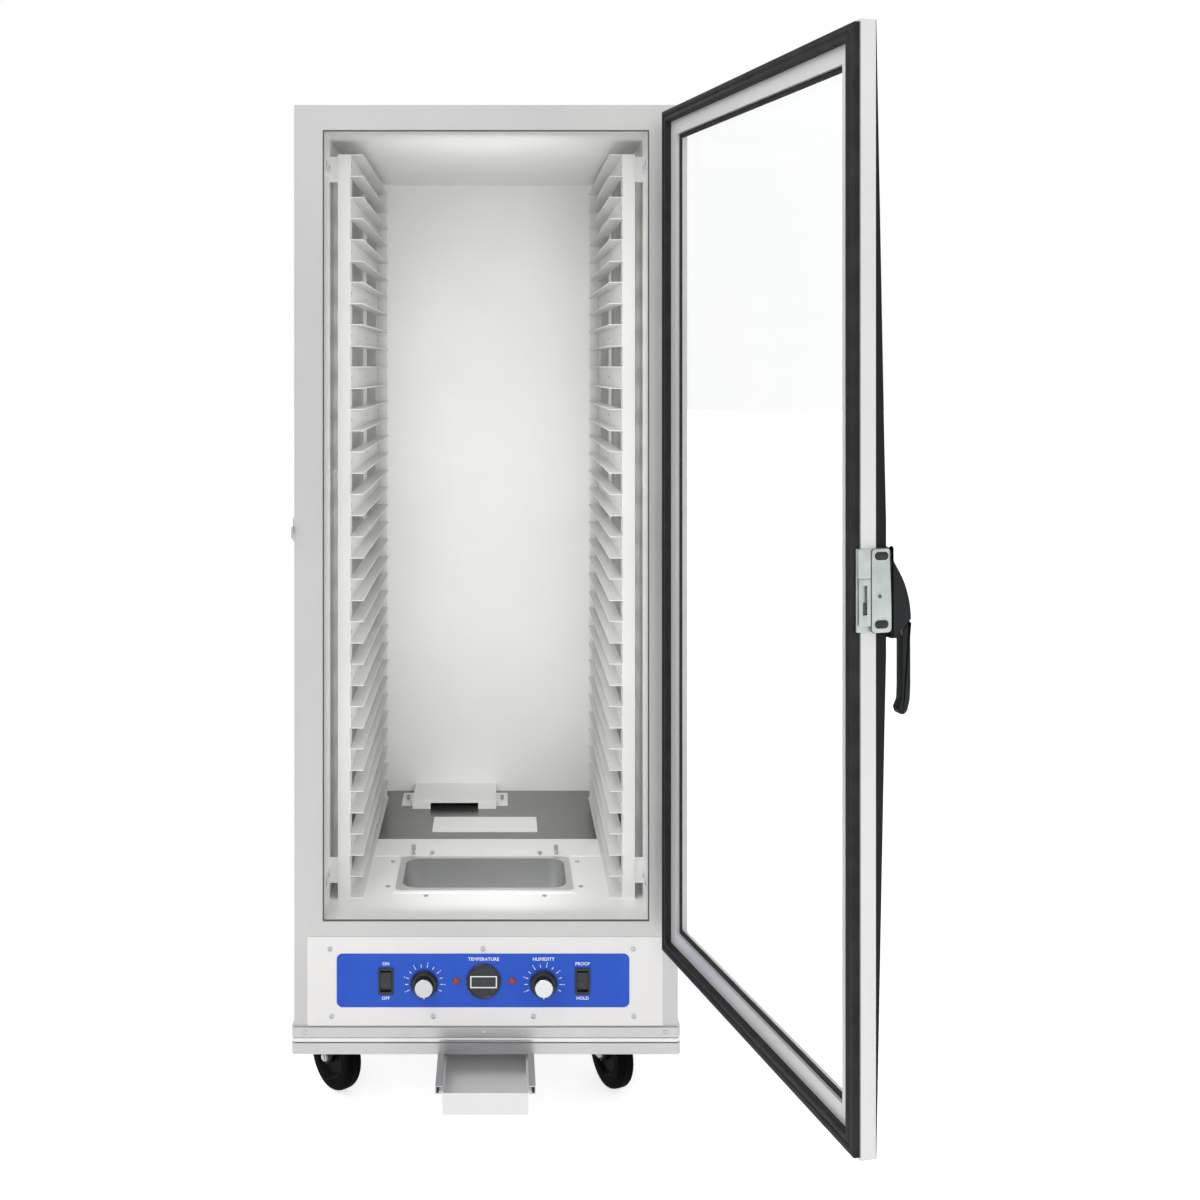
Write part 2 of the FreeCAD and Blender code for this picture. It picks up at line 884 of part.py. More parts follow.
def rack(side):
    """One side's removable rack: two uprights and the channels riveted between them."""
    thick = d.slide_sheet
    start = front + d.rack_front
    end = front + rack_back
    top = floor + d.slide_pitch * (slide_count - 1) + d.slide_height
    height = top - floor
    web_in = rack_web - thick
    low, width = across(side, web_in, rack_web)
    front_web = box(low, start, floor, width, d.rack_upright_length, height)
    low, width = across(side, web_in, rack_flange)
    front_flange = box(low, start, floor, width, thick, height)
    low, width = across(side, web_in, rack_web)
    rear_web = box(low, end - d.rack_upright_length, floor, width, d.rack_upright_length, height)
    low, width = across(side, rack_stop_tip, rack_web)
    rear_stop = box(low, end - thick, floor, width, thick, height)
    low, width = across(side, web_in, rack_web)
    post = box(low, front + d.rack_post, floor, width, d.rack_post_length, height)
    pieces = [fuse(front_web, front_flange), post, fuse(rear_web, rear_stop)]
    low, width = across(side, web_in - thick, web_in)
    tip_low, tip_width = across(side, slide_tip, web_in)
    length = rack_back - d.rack_front - thick * 2
    for number in range(slide_count):
        z = floor + d.slide_pitch * number
        web = box(low, start + thick, z, width, length, d.slide_height)
        lower = box(tip_low, start + thick, z, tip_width, length, thick)
        upper_z = z + d.slide_height - thick
        upper = box(tip_low, start + thick, upper_z, tip_width, length, thick)
        pieces.append(fuse(web, lower, upper))
    return group(*pieces)


def rack_brackets():
    """Four strips on the side liners, each with a tab that stands behind a rack flange."""
    pieces = []
    tab_y = front + d.rack_front + d.slide_sheet + d.bracket_tab_gap
    for side in (-1, 1):
        for z in (bracket_upper, bracket_lower):
            low, width = across(side, half_opening - d.bracket_sheet, half_opening)
            strip_z = z - d.bracket_height / 2
            strip_y = front + d.bracket_front
            strip = box(low, strip_y, strip_z, width, d.bracket_length, d.bracket_height)
            low, width = across(side, half_opening - d.bracket_tab_reach, half_opening)
            tab_z = z - d.bracket_tab_height / 2
            tab = box(low, tab_y, tab_z, width, d.bracket_sheet, d.bracket_tab_height)
            pieces.append(fuse(strip, tab))
    return group(*pieces)


def control_holes():
    """The cut-outs that the plate and its printed panel share."""
    lamp_hole = d.lamp_body + d.hole_gap
    width = d.rocker_body_width + d.hole_gap
    height = d.rocker_body_height + d.hole_gap
    return [
        middle_rect(d.rocker_left_x, d.rocker_z, width, height),
        middle_rect(d.rocker_right_x, d.rocker_z, width, height),
        circle(d.knob_left_x, d.knob_z, d.shaft_hole),
        circle(d.knob_right_x, d.knob_z, d.shaft_hole),
        circle(d.lamp_left_x, d.lamp_z, lamp_hole),
        circle(d.lamp_right_x, d.lamp_z, lamp_hole),
        circle(d.meter_x, d.meter_z, d.meter_body + d.hole_gap),
    ]


def control_plate():
    left = d.plate_x - plate_width / 2
    right = d.plate_x + plate_width / 2
    outline = rect(left, right, d.plate_low, d.plate_high)
    holes = control_holes() + screw_loops(d.screw_radius)
    return prism("Y", front - d.plate_sheet, d.plate_sheet, outline, *holes)


def control_decal():
    outline = middle_rect(d.decal_x, d.decal_z, decal_width, d.decal_height)
    panel = prism("Y", decal_front, d.decal_sheet, outline)
    round_edges(panel, Y_AXIS, d.decal_corner)
    return pocket(panel, "Y", decal_front, d.decal_sheet, *control_holes())


def switch_housing(x):
    """A switch body with its bezel, hollow where the rocker tilts."""
    bezel = prism(
        "Y",
        decal_front - d.rocker_bezel_sheet,
        d.rocker_bezel_sheet,
        middle_rect(x, d.rocker_z, d.rocker_bezel_width, d.rocker_bezel_height),
    )
    body = box(
        x - d.rocker_body_width / 2,
        decal_front,
        d.rocker_z - d.rocker_body_height / 2,
        d.rocker_body_width,
        d.rocker_body_depth,
        d.rocker_body_height,
    )
    width = d.rocker_width + d.rocker_gap * 2
    height = d.rocker_height + d.rocker_end_gap * 2
    hollow = box(
        x - width / 2,
        decal_front - d.rocker_bezel_sheet,
        d.rocker_z - height / 2,
        width,
        d.rocker_bezel_sheet + d.rocker_pocket,
        height,
    )
    return cut(fuse(bezel, body), hollow)


def rocker(x):
    """The tilting key, with a crest across its middle."""
    half = d.rocker_height / 2
    profile = [
        (d.rocker_back, -half),
        (d.rocker_back, half),
        (-d.rocker_edge, half),
        (-d.rocker_crest, 0),
        (-d.rocker_edge, -half),
    ]
    key = prism("X", -d.rocker_width / 2, d.rocker_width, profile)
    tilt = Rotation(X_AXIS, d.rocker_tilt.value)
    key.Placement = Placement(Vector(), tilt)
    bind(key, "Placement.Rotation.Angle", d.rocker_tilt)
    return place(key, x, decal_front, d.rocker_z)


def knob(x):
    """A skirted knob with its cap, pointer rib and shaft, turned about its own axis."""
    rise = d.knob_skirt + d.knob_cap_height
    profile = [
        (0, -d.knob_shaft_length),
        (d.knob_shaft, -d.knob_shaft_length),
        (d.knob_shaft, 0),
        (d.knob_radius, 0),
        (d.knob_radius, d.knob_skirt / 3),
        (d.knob_shoulder, d.knob_skirt),
        (d.knob_cap_radius, d.knob_skirt),
        (d.knob_cap_radius, rise),
        (0, rise),
    ]
    body = turned(profile)
    rib = box(
        -d.pointer_width / 2, 0, rise, d.pointer_width, d.knob_cap_radius, d.pointer_height
    )
    whole = fuse(body, rib)
    return place(whole, x, decal_front - d.knob_gap, d.knob_z, Rotation(X_AXIS, 90))


def thermostats():
    """The two regulators behind the knobs, each bored for a knob's shaft."""
    pieces = []
    half = d.thermostat_width / 2
    for x in (d.knob_left_x, d.knob_right_x):
        case = box(
            x - half,
            front,
            d.knob_z - half,
            d.thermostat_width,
            d.thermostat_depth,
            d.thermostat_width,
        )
        bore = rod(
            ALONG_Y, x, front, d.knob_z, d.knob_shaft + d.running_gap, d.knob_shaft_length
        )
        pieces.append(cut(case, bore))
    return group(*pieces)


def pilot_lamps():
    pieces = []
    for x in (d.lamp_left_x, d.lamp_right_x):
        lens = rod(
            ALONG_Y, x, decal_front - d.lamp_height, d.lamp_z, d.lamp_radius, d.lamp_height
        )
        stem = rod(ALONG_Y, x, decal_front, d.lamp_z, d.lamp_body, d.lamp_depth)
        pieces.append(fuse(lens, stem))
    return group(*pieces)


def thermometer():
    face_y = decal_front - d.meter_height
    face = rod(ALONG_Y, d.meter_x, face_y, d.meter_z, d.meter_radius, d.meter_height)
    stem = rod(ALONG_Y, d.meter_x, decal_front, d.meter_z, d.meter_body, d.meter_depth)
    return fuse(face, stem)


def display_frame():
    rim = d.display_rim * 2
    start = decal_front - d.meter_height - d.display_sheet
    outline = middle_rect(d.meter_x, d.meter_z, d.display_width, d.display_height)
    window_width = d.display_width - rim
    window_height = d.display_height - rim
    window = middle_rect(d.meter_x, d.meter_z, window_width, window_height)
    return prism("Y", start, d.display_sheet, outline, window)


pivot_x = half_width + d.pivot_reach
door_left = d.door_free_margin - half_width
door_right = half_width - d.door_hinge_margin
door_bottom = d.plate_high + d.door_plate_gap
door_top = d.body_height - d.door_top_margin
pivot_y = front - d.pivot_y
free_edge = door_left - pivot_x
hinge_edge = door_right - pivot_x
inner_face = d.pivot_y - d.door_inner
outer_face = inner_face - d.door_thickness
door_height = door_top - door_bottom
door_width = door_right - door_left


def on_door(thing):
    """Puts a piece that is drawn closed, from the hinge axis, where the open door is."""
    return swing(thing, pivot_x, pivot_y, 0, d.open_angle)


def door_ring(inset, width, start, height):
    """A rectangular ring on the door, set in from the door's edge."""
    outer = rect(
        free_edge + inset, hinge_edge - inset, door_bottom + inset, door_top - inset
    )
    step = inset + width
    inner = rect(
        free_edge + step, hinge_edge - step, door_bottom + step, door_top - step
    )
    return prism("Y", start, height, outer, inner)


def door_frame():
    return door_ring(as_size(0), d.door_stile, outer_face, d.door_thickness)


# Points of the bowed front: the height from the middle of the door, as a share of half
# the door's height, and how far the front stands out there, as a share of the bow.
BOW_SHARES = [
    (-1, 0.05),
    (-0.8, 0.26),
    (-0.6, 0.47),
    (-0.4, 0.68),
    (-0.25, 0.84),
    (-0.12, 1),
    (0.12, 1),
    (0.25, 0.84),
    (0.4, 0.68),
    (0.6, 0.47),
    (0.8, 0.26),
    (1, 0.05),
]
PANE_END_SHARE = 0.779


def bow_points(shares, inset):
    """Side-view points on the bowed front, or inset behind it."""
    middle = (door_bottom + door_top) / 2
    return [
        (outer_face - d.door_bow * out + inset, middle + door_height * up / 2)
        for up, out in shares
    ]


def bowed_outline():
    start = (outer_face, door_bottom)
    end = (outer_face, door_top)
    return [start] + bow_points(BOW_SHARES, 0) + [end]


def edge_trims():
    """Two dark strips that follow the bow of the front pane at its upright edges."""
    free = prism("X", free_edge, d.trim_width, bowed_outline())
    hinged = prism("X", hinge_edge - d.trim_width, d.trim_width, bowed_outline())
    return group(free, hinged)


def outer_glass():
    """The bowed front pane between the edge strips, hollow behind its sheet."""
    hollow = bow_points(BOW_SHARES[2:-2], d.pane_sheet)
    low, high = bow_points([(-PANE_END_SHARE, 0), (PANE_END_SHARE, 0)], 0)
    outline = bowed_outline() + [high] + hollow[::-1] + [low]
    width = door_width - d.trim_width * 2
    return prism("X", free_edge + d.trim_width, width, outline)


def inner_glass():
    step = d.door_stile
    start = inner_face - d.glass_recess - d.glass_sheet
    outline = rect(
        free_edge + step, hinge_edge - step, door_bottom + step, door_top - step
    )
    return prism("Y", start, d.glass_sheet, outline)


def hinge_places():
    """The low ends of the three hinges."""
    last = door_top - d.hinge_end - d.hinge_height
    first = door_bottom + d.hinge_end
    return [first, (first + last) / 2, last]


def body_hinge_leaves():
    """Leaves on the body's side with two knuckles each, and the pin through them."""
    pieces = []
    third = d.hinge_height / 3
    for z in hinge_places():
        plate = box(
            half_width, front, z, d.hinge_sheet, d.hinge_body_leaf, d.hinge_height
        )
        parts = [plate]
        for step in (0, 2):
            low = z + third * step
            arm = box(half_width, pivot_y, low, d.hinge_sheet, d.pivot_y, third)
            barrel = rod(ALONG_Z, pivot_x, pivot_y, low, d.hinge_radius, third)
            parts += [arm, barrel]
        pin = rod(ALONG_Z, pivot_x, pivot_y, z, d.hinge_pin, d.hinge_height)
        pieces.append(fuse(*parts, pin))
    return group(*pieces)


def door_hinge_leaves():
    """Leaves on the door's hinge edge, each with the middle knuckle."""
    pieces = []
    third = d.hinge_height / 3
    clear = d.hinge_radius + d.hinge_gap
    for z in hinge_places():
        length = inner_face - clear
        plate = box(hinge_edge, clear, z, d.hinge_sheet, length, d.hinge_height)
        low = z + third + d.hinge_gap
        height = third - d.hinge_gap * 2
        arm = box(hinge_edge, 0, low, d.hinge_sheet, clear, height)
        barrel = rod(ALONG_Z, 0, 0, low, d.hinge_radius, height)
        bore = rod(ALONG_Z, 0, 0, low, d.hinge_pin + d.running_gap, height)
        pieces.append(cut(fuse(plate, arm, barrel), bore))
    return group(*pieces)


latch_left = free_edge - d.latch_cheek
slot_left = latch_left - d.latch_slot
cover_left = slot_left - d.latch_cover
pin_length = free_edge - cover_left


def latch_block(x, width, y0, y1, z0, z1):
    return box(x, y0, z0, width, y1 - y0, z1 - z0)


def latch_case():
    """The steel case on the door's free edge: cheek, cover, the blocks between and a pin."""
    near = d.case_front
    edge = d.case_cover_back
    far = d.case_back
    low = d.case_low
    high = d.case_high
    across_slot = d.latch_cover + d.latch_slot
    cheek = latch_block(latch_left, d.latch_cheek, near, far, low, high)
    cover = latch_block(cover_left, d.latch_cover, near, edge, low, high)
    top = latch_block(slot_left, d.latch_slot, near, edge, high - d.case_block, high)
    foot = latch_block(slot_left, d.latch_slot, near, edge, low, low + d.case_block / 2)
    upper = latch_block(cover_left, across_slot, edge, far, d.case_upper_low, high)
    lip = latch_block(
        cover_left, d.latch_cover, edge, far, d.case_lip_low, d.case_upper_low
    )
    wall = (far - edge) / 4
    window = latch_block(
        cover_left,
        d.latch_cover,
        edge + wall,
        far - wall,
        d.case_lip_low + wall,
        d.case_upper_low - wall,
    )
    case = cut(fuse(cheek, cover, top, foot, upper, lip), window)
    pin = rod(
        ALONG_X, cover_left, d.latch_pin_y, d.latch_pin_z, d.latch_pin, pin_length
    )
    return fuse(case, pin)


# Points of the handle's side view, from the front of the door's edge and the height
# of the latch, as shares of the latch's nominal height.
HOUSING_SHARES = [
    (-0.024, 0.496),
    (-0.046, 0.356),
    (-0.125, 0.222),
    (-0.195, 0.072),
    (-0.233, -0.065),
    (-0.256, -0.198),
    (-0.2685, -0.325),
    (-0.228, -0.376),
    (-0.167, -0.4315),
    (-0.111, -0.4685),
    (-0.111, -0.537),
]
GRIP_SHARES = [
    (-0.271, -0.337),
    (-0.2805, -0.546),
    (-0.2825, -1.102),
    (-0.270, -1.290),
    (-0.2315, -1.380),
    (-0.1945, -1.421),
    (-0.167, -1.4305),
    (-0.139, -1.407),
    (-0.126, -1.3425),
    (-0.1435, -1.3055),
    (-0.1695, -1.2545),
    (-0.175, -0.963),
    (-0.175, -0.437),
    (-0.228, -0.389),
]
# Points of the hook, from the latch pin, as shares of the same height.
HOOK_SHARES = [
    (-0.315, -0.5),
    (-0.38, -0.5),
    (-0.38, -0.333),
    (-0.185, -0.037),
    (-0.0555, 0.065),
    (0.0185, 0.065),
    (0.074, -0.139),
    (0.157, -0.139),
    (0.157, -0.074),
    (0.204, -0.111),
    (0.204, -0.2315),
    (0.0555, -0.2315),
    (-0.0555, -0.148),
    (-0.278, -0.389),
]


def side_view(shares, y, z):
    return [(y + d.latch_unit * dy, z + d.latch_unit * dz) for dy, dz in shares]


def handle_housing():
    """The dark housing on the door's front, slotted for the plate of the hook."""
    width = d.grip_width + d.grip_inset * 2
    seat = outer_face - d.door_bow - d.running_gap
    outline = side_view(HOUSING_SHARES, 0, d.latch_z)
    outline = [(seat, outline[0][1])] + outline + [(seat, outline[-1][1])]
    block = prism("X", cover_left, width, outline)
    beside_case = latch_block(
        cover_left,
        pin_length + d.handle_gap,
        d.case_front - d.handle_gap,
        d.case_back,
        d.case_low - d.latch_unit,
        d.case_high + d.latch_unit,
    )
    slot = latch_block(
        slot_left,
        d.latch_slot,
        -d.latch_unit,
        d.case_back,
        d.case_low - d.latch_unit,
        d.housing_slot_top,
    )
    return cut(block, beside_case, slot)


def hook_plate():
    outline = side_view(HOOK_SHARES, d.latch_pin_y, d.latch_pin_z)
    return prism("X", slot_left + d.hook_gap, d.latch_slot - d.hook_gap * 2, outline)


def handle_lever():
    """The grip, seated on the arm of the hook and pulled away from the door."""
    outline = side_view(GRIP_SHARES, 0, d.latch_z)
    grip = prism("X", cover_left + d.grip_inset, d.grip_width, outline)
    return cut(grip, hook_plate())


def latch_hook():
    """The steel plate that turns on the latch pin and hooks behind the keeper."""
    start = slot_left + d.hook_gap
    width = d.latch_slot - d.hook_gap * 2
    bore_radius = d.latch_pin + d.running_gap
    hub = rod(ALONG_X, start, d.latch_pin_y, d.latch_pin_z, d.hook_hub, width)
    bore = rod(ALONG_X, start, d.latch_pin_y, d.latch_pin_z, bore_radius, width)
    return cut(fuse(hook_plate(), hub), bore)


def keeper():
    """The hooked plate on the body's side that the latch catches."""
    left = -half_width - d.keeper_sheet
    tip = front - d.keeper_reach
    seat = front + d.keeper_sheet
    width = d.keeper_sheet
    plate_low = d.keeper_plate_low
    plate = latch_block(
        left, width, seat, front + d.keeper_length, plate_low, d.keeper_plate_high
    )
    nose = latch_block(left, width, tip, seat, d.keeper_nose_low, d.keeper_high)
    lip = latch_block(
        left, width, tip, tip + d.keeper_lip, d.keeper_low, d.keeper_nose_low
    )
    return fuse(plate, nose, lip)


def tray_rails():
    """Two channels under the chassis that carry the drip tray."""
    pieces = []
    length = d.rail_front + d.tray_length
    start = front - d.rail_front
    for side in (-1, 1):
        low, width = across(side, d.rail_outer - d.rail_sheet, d.rail_outer)
        web = box(low, start, -d.rail_depth, width, length, d.rail_depth)
        low, width = across(side, d.rail_outer - d.rail_lip, d.rail_outer)
        lower = box(low, start, -d.rail_depth, width, length, d.rail_sheet)
        upper = box(low, start, -d.rail_sheet, width, length, d.rail_sheet)
        pieces.append(fuse(web, lower, upper))
    return group(*pieces)


def drip_tray():
    """The tray that hangs by two flanges in the rails, with a deep front lip."""
    start = front - d.tray_front
    flange_z = -d.rail_depth + d.rail_sheet
    flange_top = flange_z + d.tray_sheet
    inner = tray_half - d.tray_sheet
    depth = d.tray_bottom + flange_top
    outer = box(-tray_half, start, -d.tray_bottom, d.tray_width, d.tray_length, depth)
    hollow = box(
        -inner,
        start + d.tray_sheet,
        -d.tray_bottom + d.tray_sheet,
        inner * 2,
        d.tray_length - d.tray_sheet * 2,
        d.tray_bottom + d.rail_depth,
    )
    shell = cut(outer, hollow)
    flange_start = front - d.rail_front + d.tray_sheet
    flange_length = d.tray_length - d.tray_front
    left = box(
        -tray_half - d.tray_flange,
        flange_start,
        flange_z,
        d.tray_flange,
        flange_length,
        d.tray_sheet,
    )
    right = box(
        tray_half, flange_start, flange_z, d.tray_flange, flange_length, d.tray_sheet
    )
    return fuse(shell, left, right)


def caster_places():
    """Corner names with their place and the heading of their trail."""
    return [
        ("front_left", -caster_x, -caster_y, d.front_left_heading),
        ("front_right", caster_x, -caster_y, d.front_right_heading),
        ("back_left", -caster_x, caster_y, d.back_left_heading),
        ("back_right", caster_x, caster_y, d.back_right_heading),
    ]


axle_z = d.wheel_radius - d.caster_height


def caster_plates():
    """Four top plates, each bored for a kingpin and held by four bolts."""
    pieces = []
    for _, x, y, _ in caster_places():
        plate = prism(
            "Z",
            -d.caster_plate_sheet,
            d.caster_plate_sheet,
            middle_rect(x, y, d.caster_plate_width, d.caster_plate_length),
            circle(x, y, d.kingpin + d.running_gap),
        )
        parts = [plate]
        for dx, dy in CORNER_SHARES:
            bolt_x = x + d.caster_hole_x * dx
            bolt_y = y + d.caster_hole_y * dy
            head_z = -d.caster_plate_sheet - d.bolt_head_height
            parts.append(
                rod(ALONG_Z, bolt_x, bolt_y, head_z, d.bolt_head, d.bolt_head_height)
            )
            shank = d.band_floor + d.bolt_head_height
            parts.append(rod(ALONG_Z, bolt_x, bolt_y, 0, d.bolt_radius, shank))
        pieces.append(fuse(*parts))
    return group(*pieces)


def fork_leg(low, with_pedal):
    """One side leg of a fork, drawn with the trail along its own X."""
    top = -d.caster_plate_sheet - d.fork_gap
    end = d.fork_leg_end
    outline = [
        (-d.fork_disc * 0.6, top),
        (d.fork_disc * 0.8, top),
        (d.trail + end * 0.6, axle_z + end),
        (d.trail + end, axle_z),
        (d.trail, axle_z - end),
        (d.trail - end, axle_z),
    ]
    leg = prism("Y", low, d.fork_leg, outline)
    if not with_pedal:
        return leg
    hub = d.pedal_hub
    arm = prism(
        "Y",
        low,
        d.fork_leg,
        [
            (d.fork_disc * 0.5, top - d.fork_disc_height),
            (d.pedal_pivot_x + hub, -d.pedal_pivot_z + hub),
            (d.pedal_pivot_x + hub, -d.pedal_pivot_z - hub),
            (d.pedal_pivot_x - hub, -d.pedal_pivot_z - hub),
            (d.fork_disc * 0.6, top - d.fork_disc),
        ],
    )
    return fuse(leg, arm)


def fork(x, y, heading, with_pedal):
    """The swivelling fork with its kingpin, two legs and the wheel's axle."""
    top = -d.caster_plate_sheet - d.fork_gap
    disc_low = top - d.fork_disc_height
    disc = rod(ALONG_Z, 0, 0, disc_low, d.fork_disc, d.fork_disc_height)
    pin_length = d.fork_disc_height + d.fork_gap + d.caster_plate_sheet * 0.8
    pin = rod(ALONG_Z, 0, 0, disc_low, d.kingpin, pin_length)
    near = fork_leg(-d.fork_inner - d.fork_leg, with_pedal)
    far = fork_leg(d.fork_inner, with_pedal)
    reach = d.fork_inner + d.fork_leg
    axle = rod(ALONG_Y, d.trail, -reach, axle_z, d.axle_radius, reach * 2)
    whole = fuse(disc, pin, near, far, axle)
    if with_pedal:
        hole = rod(
            ALONG_Y,
            d.pedal_pivot_x,
            -reach,
            -d.pedal_pivot_z,
            d.pedal_pin + d.running_gap,
            reach * 2,
        )
        whole = cut(whole, hole)
    return swing(whole, x, y, 0, heading)


def wheel(x, y, heading):
    """A tyred wheel turned about its axle, with hub bosses that meet the fork's legs."""
    half = d.wheel_width / 2
    boss = half + d.hub_reach
    bore = d.axle_radius + d.running_gap
    disc = d.wheel_radius * 0.62
    web = half * 0.6
    profile = [
        (bore, -boss),
        (d.hub_radius, -boss),
        (d.hub_radius, -web),
        (disc, -web),
        (disc, -half),
        (d.wheel_radius - d.tread_round, -half),
        (d.wheel_radius - d.tread_round * 0.3, -half + d.tread_round * 0.3),
        (d.wheel_radius, -half + d.tread_round),
        (d.wheel_radius, half - d.tread_round),
        (d.wheel_radius - d.tread_round * 0.3, half - d.tread_round * 0.3),
        (d.wheel_radius - d.tread_round, half),
        (disc, half),
        (disc, web),
        (d.hub_radius, web),
        (d.hub_radius, boss),
        (bore, boss),
    ]
    upright = place(turned(profile), d.trail, 0, axle_z, ALONG_Y)
    return swing(group(upright), x, y, 0, heading)


def pedal(x, y, heading):
    """The brake pedal behind a front wheel, on a pin through the fork's arms."""
    half = d.fork_inner - d.fork_gap
    pivot_z = -d.pedal_pivot_z
    plate = prism(
        "Y",
        -half,
        half * 2,
        [
            (d.pedal_pivot_x, pivot_z + d.pedal_sheet * 0.8),
            (d.pedal_pivot_x + d.pedal_length, pivot_z - d.pedal_drop + d.pedal_sheet),
            (d.pedal_pivot_x + d.pedal_length, pivot_z - d.pedal_drop),
            (d.pedal_pivot_x, pivot_z - d.pedal_sheet * 0.2),
        ],
    )
    hub = rod(ALONG_Y, d.pedal_pivot_x, -half, pivot_z, d.pedal_sheet, half * 2)
    reach = d.fork_inner + d.fork_leg
    pin = rod(ALONG_Y, d.pedal_pivot_x, -reach, pivot_z, d.pedal_pin, reach * 2)
    return swing(fuse(plate, hub, pin), x, y, 0, heading)


heater_z = floor + d.pan_sheet * 2 - d.pan_depth - d.heater_clearance - d.heater_tube


def u_tube(x, y, z):
    """A hairpin heating tube that lies flat, with its bend at the right."""
    half = d.heater_length / 2
    near = rod(ALONG_X, x - half, y - d.heater_spread, z, d.heater_tube, d.heater_length)
    far = rod(ALONG_X, x - half, y + d.heater_spread, z, d.heater_tube, d.heater_length)
    bend = doc.addObject("Part::Torus", "bend")
    bind(bend, "Radius1", d.heater_spread)
    bind(bend, "Radius2", d.heater_tube)
    bend.Angle3 = 180
    place(bend, x + half, y, z, Rotation(Z_AXIS, -90))
    return fuse(near, far, bend)


def heating_elements():
    """The hairpin under the water pan on its stands, and the ring round the fan."""
    hairpin = u_tube(d.pan_x, pan_centre_y, heater_z)
    pieces = [hairpin]
    stand_y = pan_centre_y - d.heater_spread - d.heater_tube
    stand_length = (d.heater_spread + d.heater_tube) * 2
    stand_height = heater_z - d.heater_tube - d.band_floor
    for x in (d.pan_x - d.heater_stand, d.pan_x + d.heater_stand):
        pieces.append(
            box(x, stand_y, d.band_floor, d.floor_sheet, stand_length, stand_height)
        )
    ring = doc.addObject("Part::Torus", "ring")
    bind(ring, "Radius1", d.ring_radius)
    bind(ring, "Radius2", d.heater_tube)
    ring_z = housing_low + d.skin + d.heater_tube
    place(ring, duct_x, fan_centre_y, ring_z, ALONG_Z)
    return group(*pieces, ring)


housing_low = floor - d.floor_sheet - d.housing_height
disc_z = housing_low + d.skin + d.motor_top_gap


def blower_housing():
    """The open-topped box under the air hole that the fan turns in."""
    x = duct_x - d.housing_width / 2
    y = fan_centre_y - d.housing_length / 2
    outer = box(x, y, housing_low, d.housing_width, d.housing_length, d.housing_height)
    hollow = box(
        x + d.skin,
        y + d.skin,
        housing_low + d.skin,
        d.housing_width - d.skin * 2,
        d.housing_length - d.skin * 2,
        d.housing_height,
    )
    hole = rod(
        ALONG_Z, duct_x, fan_centre_y, housing_low, d.fan_hub + d.hole_gap, d.skin
    )
    return cut(outer, hollow, hole)


def fan_motor():
    """The motor under the housing, on a stand from the chassis floor."""
    low = housing_low - d.motor_height
    can = rod(ALONG_Z, duct_x, fan_centre_y, low, d.motor_radius, d.motor_height)
    stand_half = d.motor_radius * 0.7
    stand = box(
        duct_x - stand_half,
        fan_centre_y - stand_half,
        d.band_floor,
        stand_half * 2,
        stand_half * 2,
        low - d.band_floor,
    )
    bore_radius = d.fan_shaft + d.running_gap
    depth = d.motor_height / 2
    bore = rod(ALONG_Z, duct_x, fan_centre_y, housing_low - depth, bore_radius, depth)
    return cut(fuse(can, stand), bore)


def fan_wheel():
    """A drum fan: shaft, hub, disc and a ring of upright blades."""
    shaft_low = housing_low - d.motor_height / 2 + d.motor_top_gap
    shaft_length = disc_z - shaft_low
    shaft = rod(ALONG_Z, 0, 0, shaft_low, d.fan_shaft, shaft_length)
    hub = rod(ALONG_Z, 0, 0, disc_z, d.fan_hub, d.fan_height / 2)
    disc = rod(ALONG_Z, 0, 0, disc_z, d.fan_radius, d.fan_disc)
    parts = [shaft, hub, disc]
    count = int(d.blade_count.value)
    for number in range(count):
        blade = box(
            d.fan_radius - d.blade_length,
            -d.blade_sheet / 2,
            disc_z,
            d.blade_length,
            d.blade_sheet,
            d.fan_height,
        )
        turner = group(blade)
        turner.Placement = Placement(Vector(), Rotation(Z_AXIS, 360.0 * number / count))
        parts.append(turner)
    return place(fuse(*parts), duct_x, fan_centre_y, 0)


def power_inlet():
    """A recessed mains inlet with three blades, on the rear panel."""
    x = d.inlet_x
    z = d.inlet_z
    flange = box(
        x - d.inlet_width / 2,
        back,
        z - d.inlet_height / 2,
        d.inlet_width,
        d.inlet_flange,
        d.inlet_height,
    )
    body = box(
        x - d.inlet_body_width / 2,
        back - d.inlet_depth,
        z - d.inlet_body_height / 2,
        d.inlet_body_width,
        d.inlet_depth,
        d.inlet_body_height,
    )
    inner_width = d.inlet_body_width - d.inlet_wall * 2
    inner_height = d.inlet_body_height - d.inlet_wall * 2
    hollow = box(
        x - inner_width / 2,
        back - d.inlet_depth + d.inlet_wall,
        z - inner_height / 2,
        inner_width,
        d.inlet_depth + d.inlet_flange,
        inner_height,
    )
    blades = []
    for share_x, share_z in ((-0.27, -0.12), (0.27, -0.12), (0, 0.18)):
        blades.append(
            box(
                x + inner_width * share_x - d.inlet_pin / 2,
                back - d.inlet_depth + d.inlet_wall,
                z + inner_height * share_z - d.inlet_pin,
                d.inlet_pin,
                d.inlet_depth - d.inlet_wall * 2,
                d.inlet_pin * 2,
            )
        )
    return fuse(cut(fuse(flange, body), hollow), *blades)


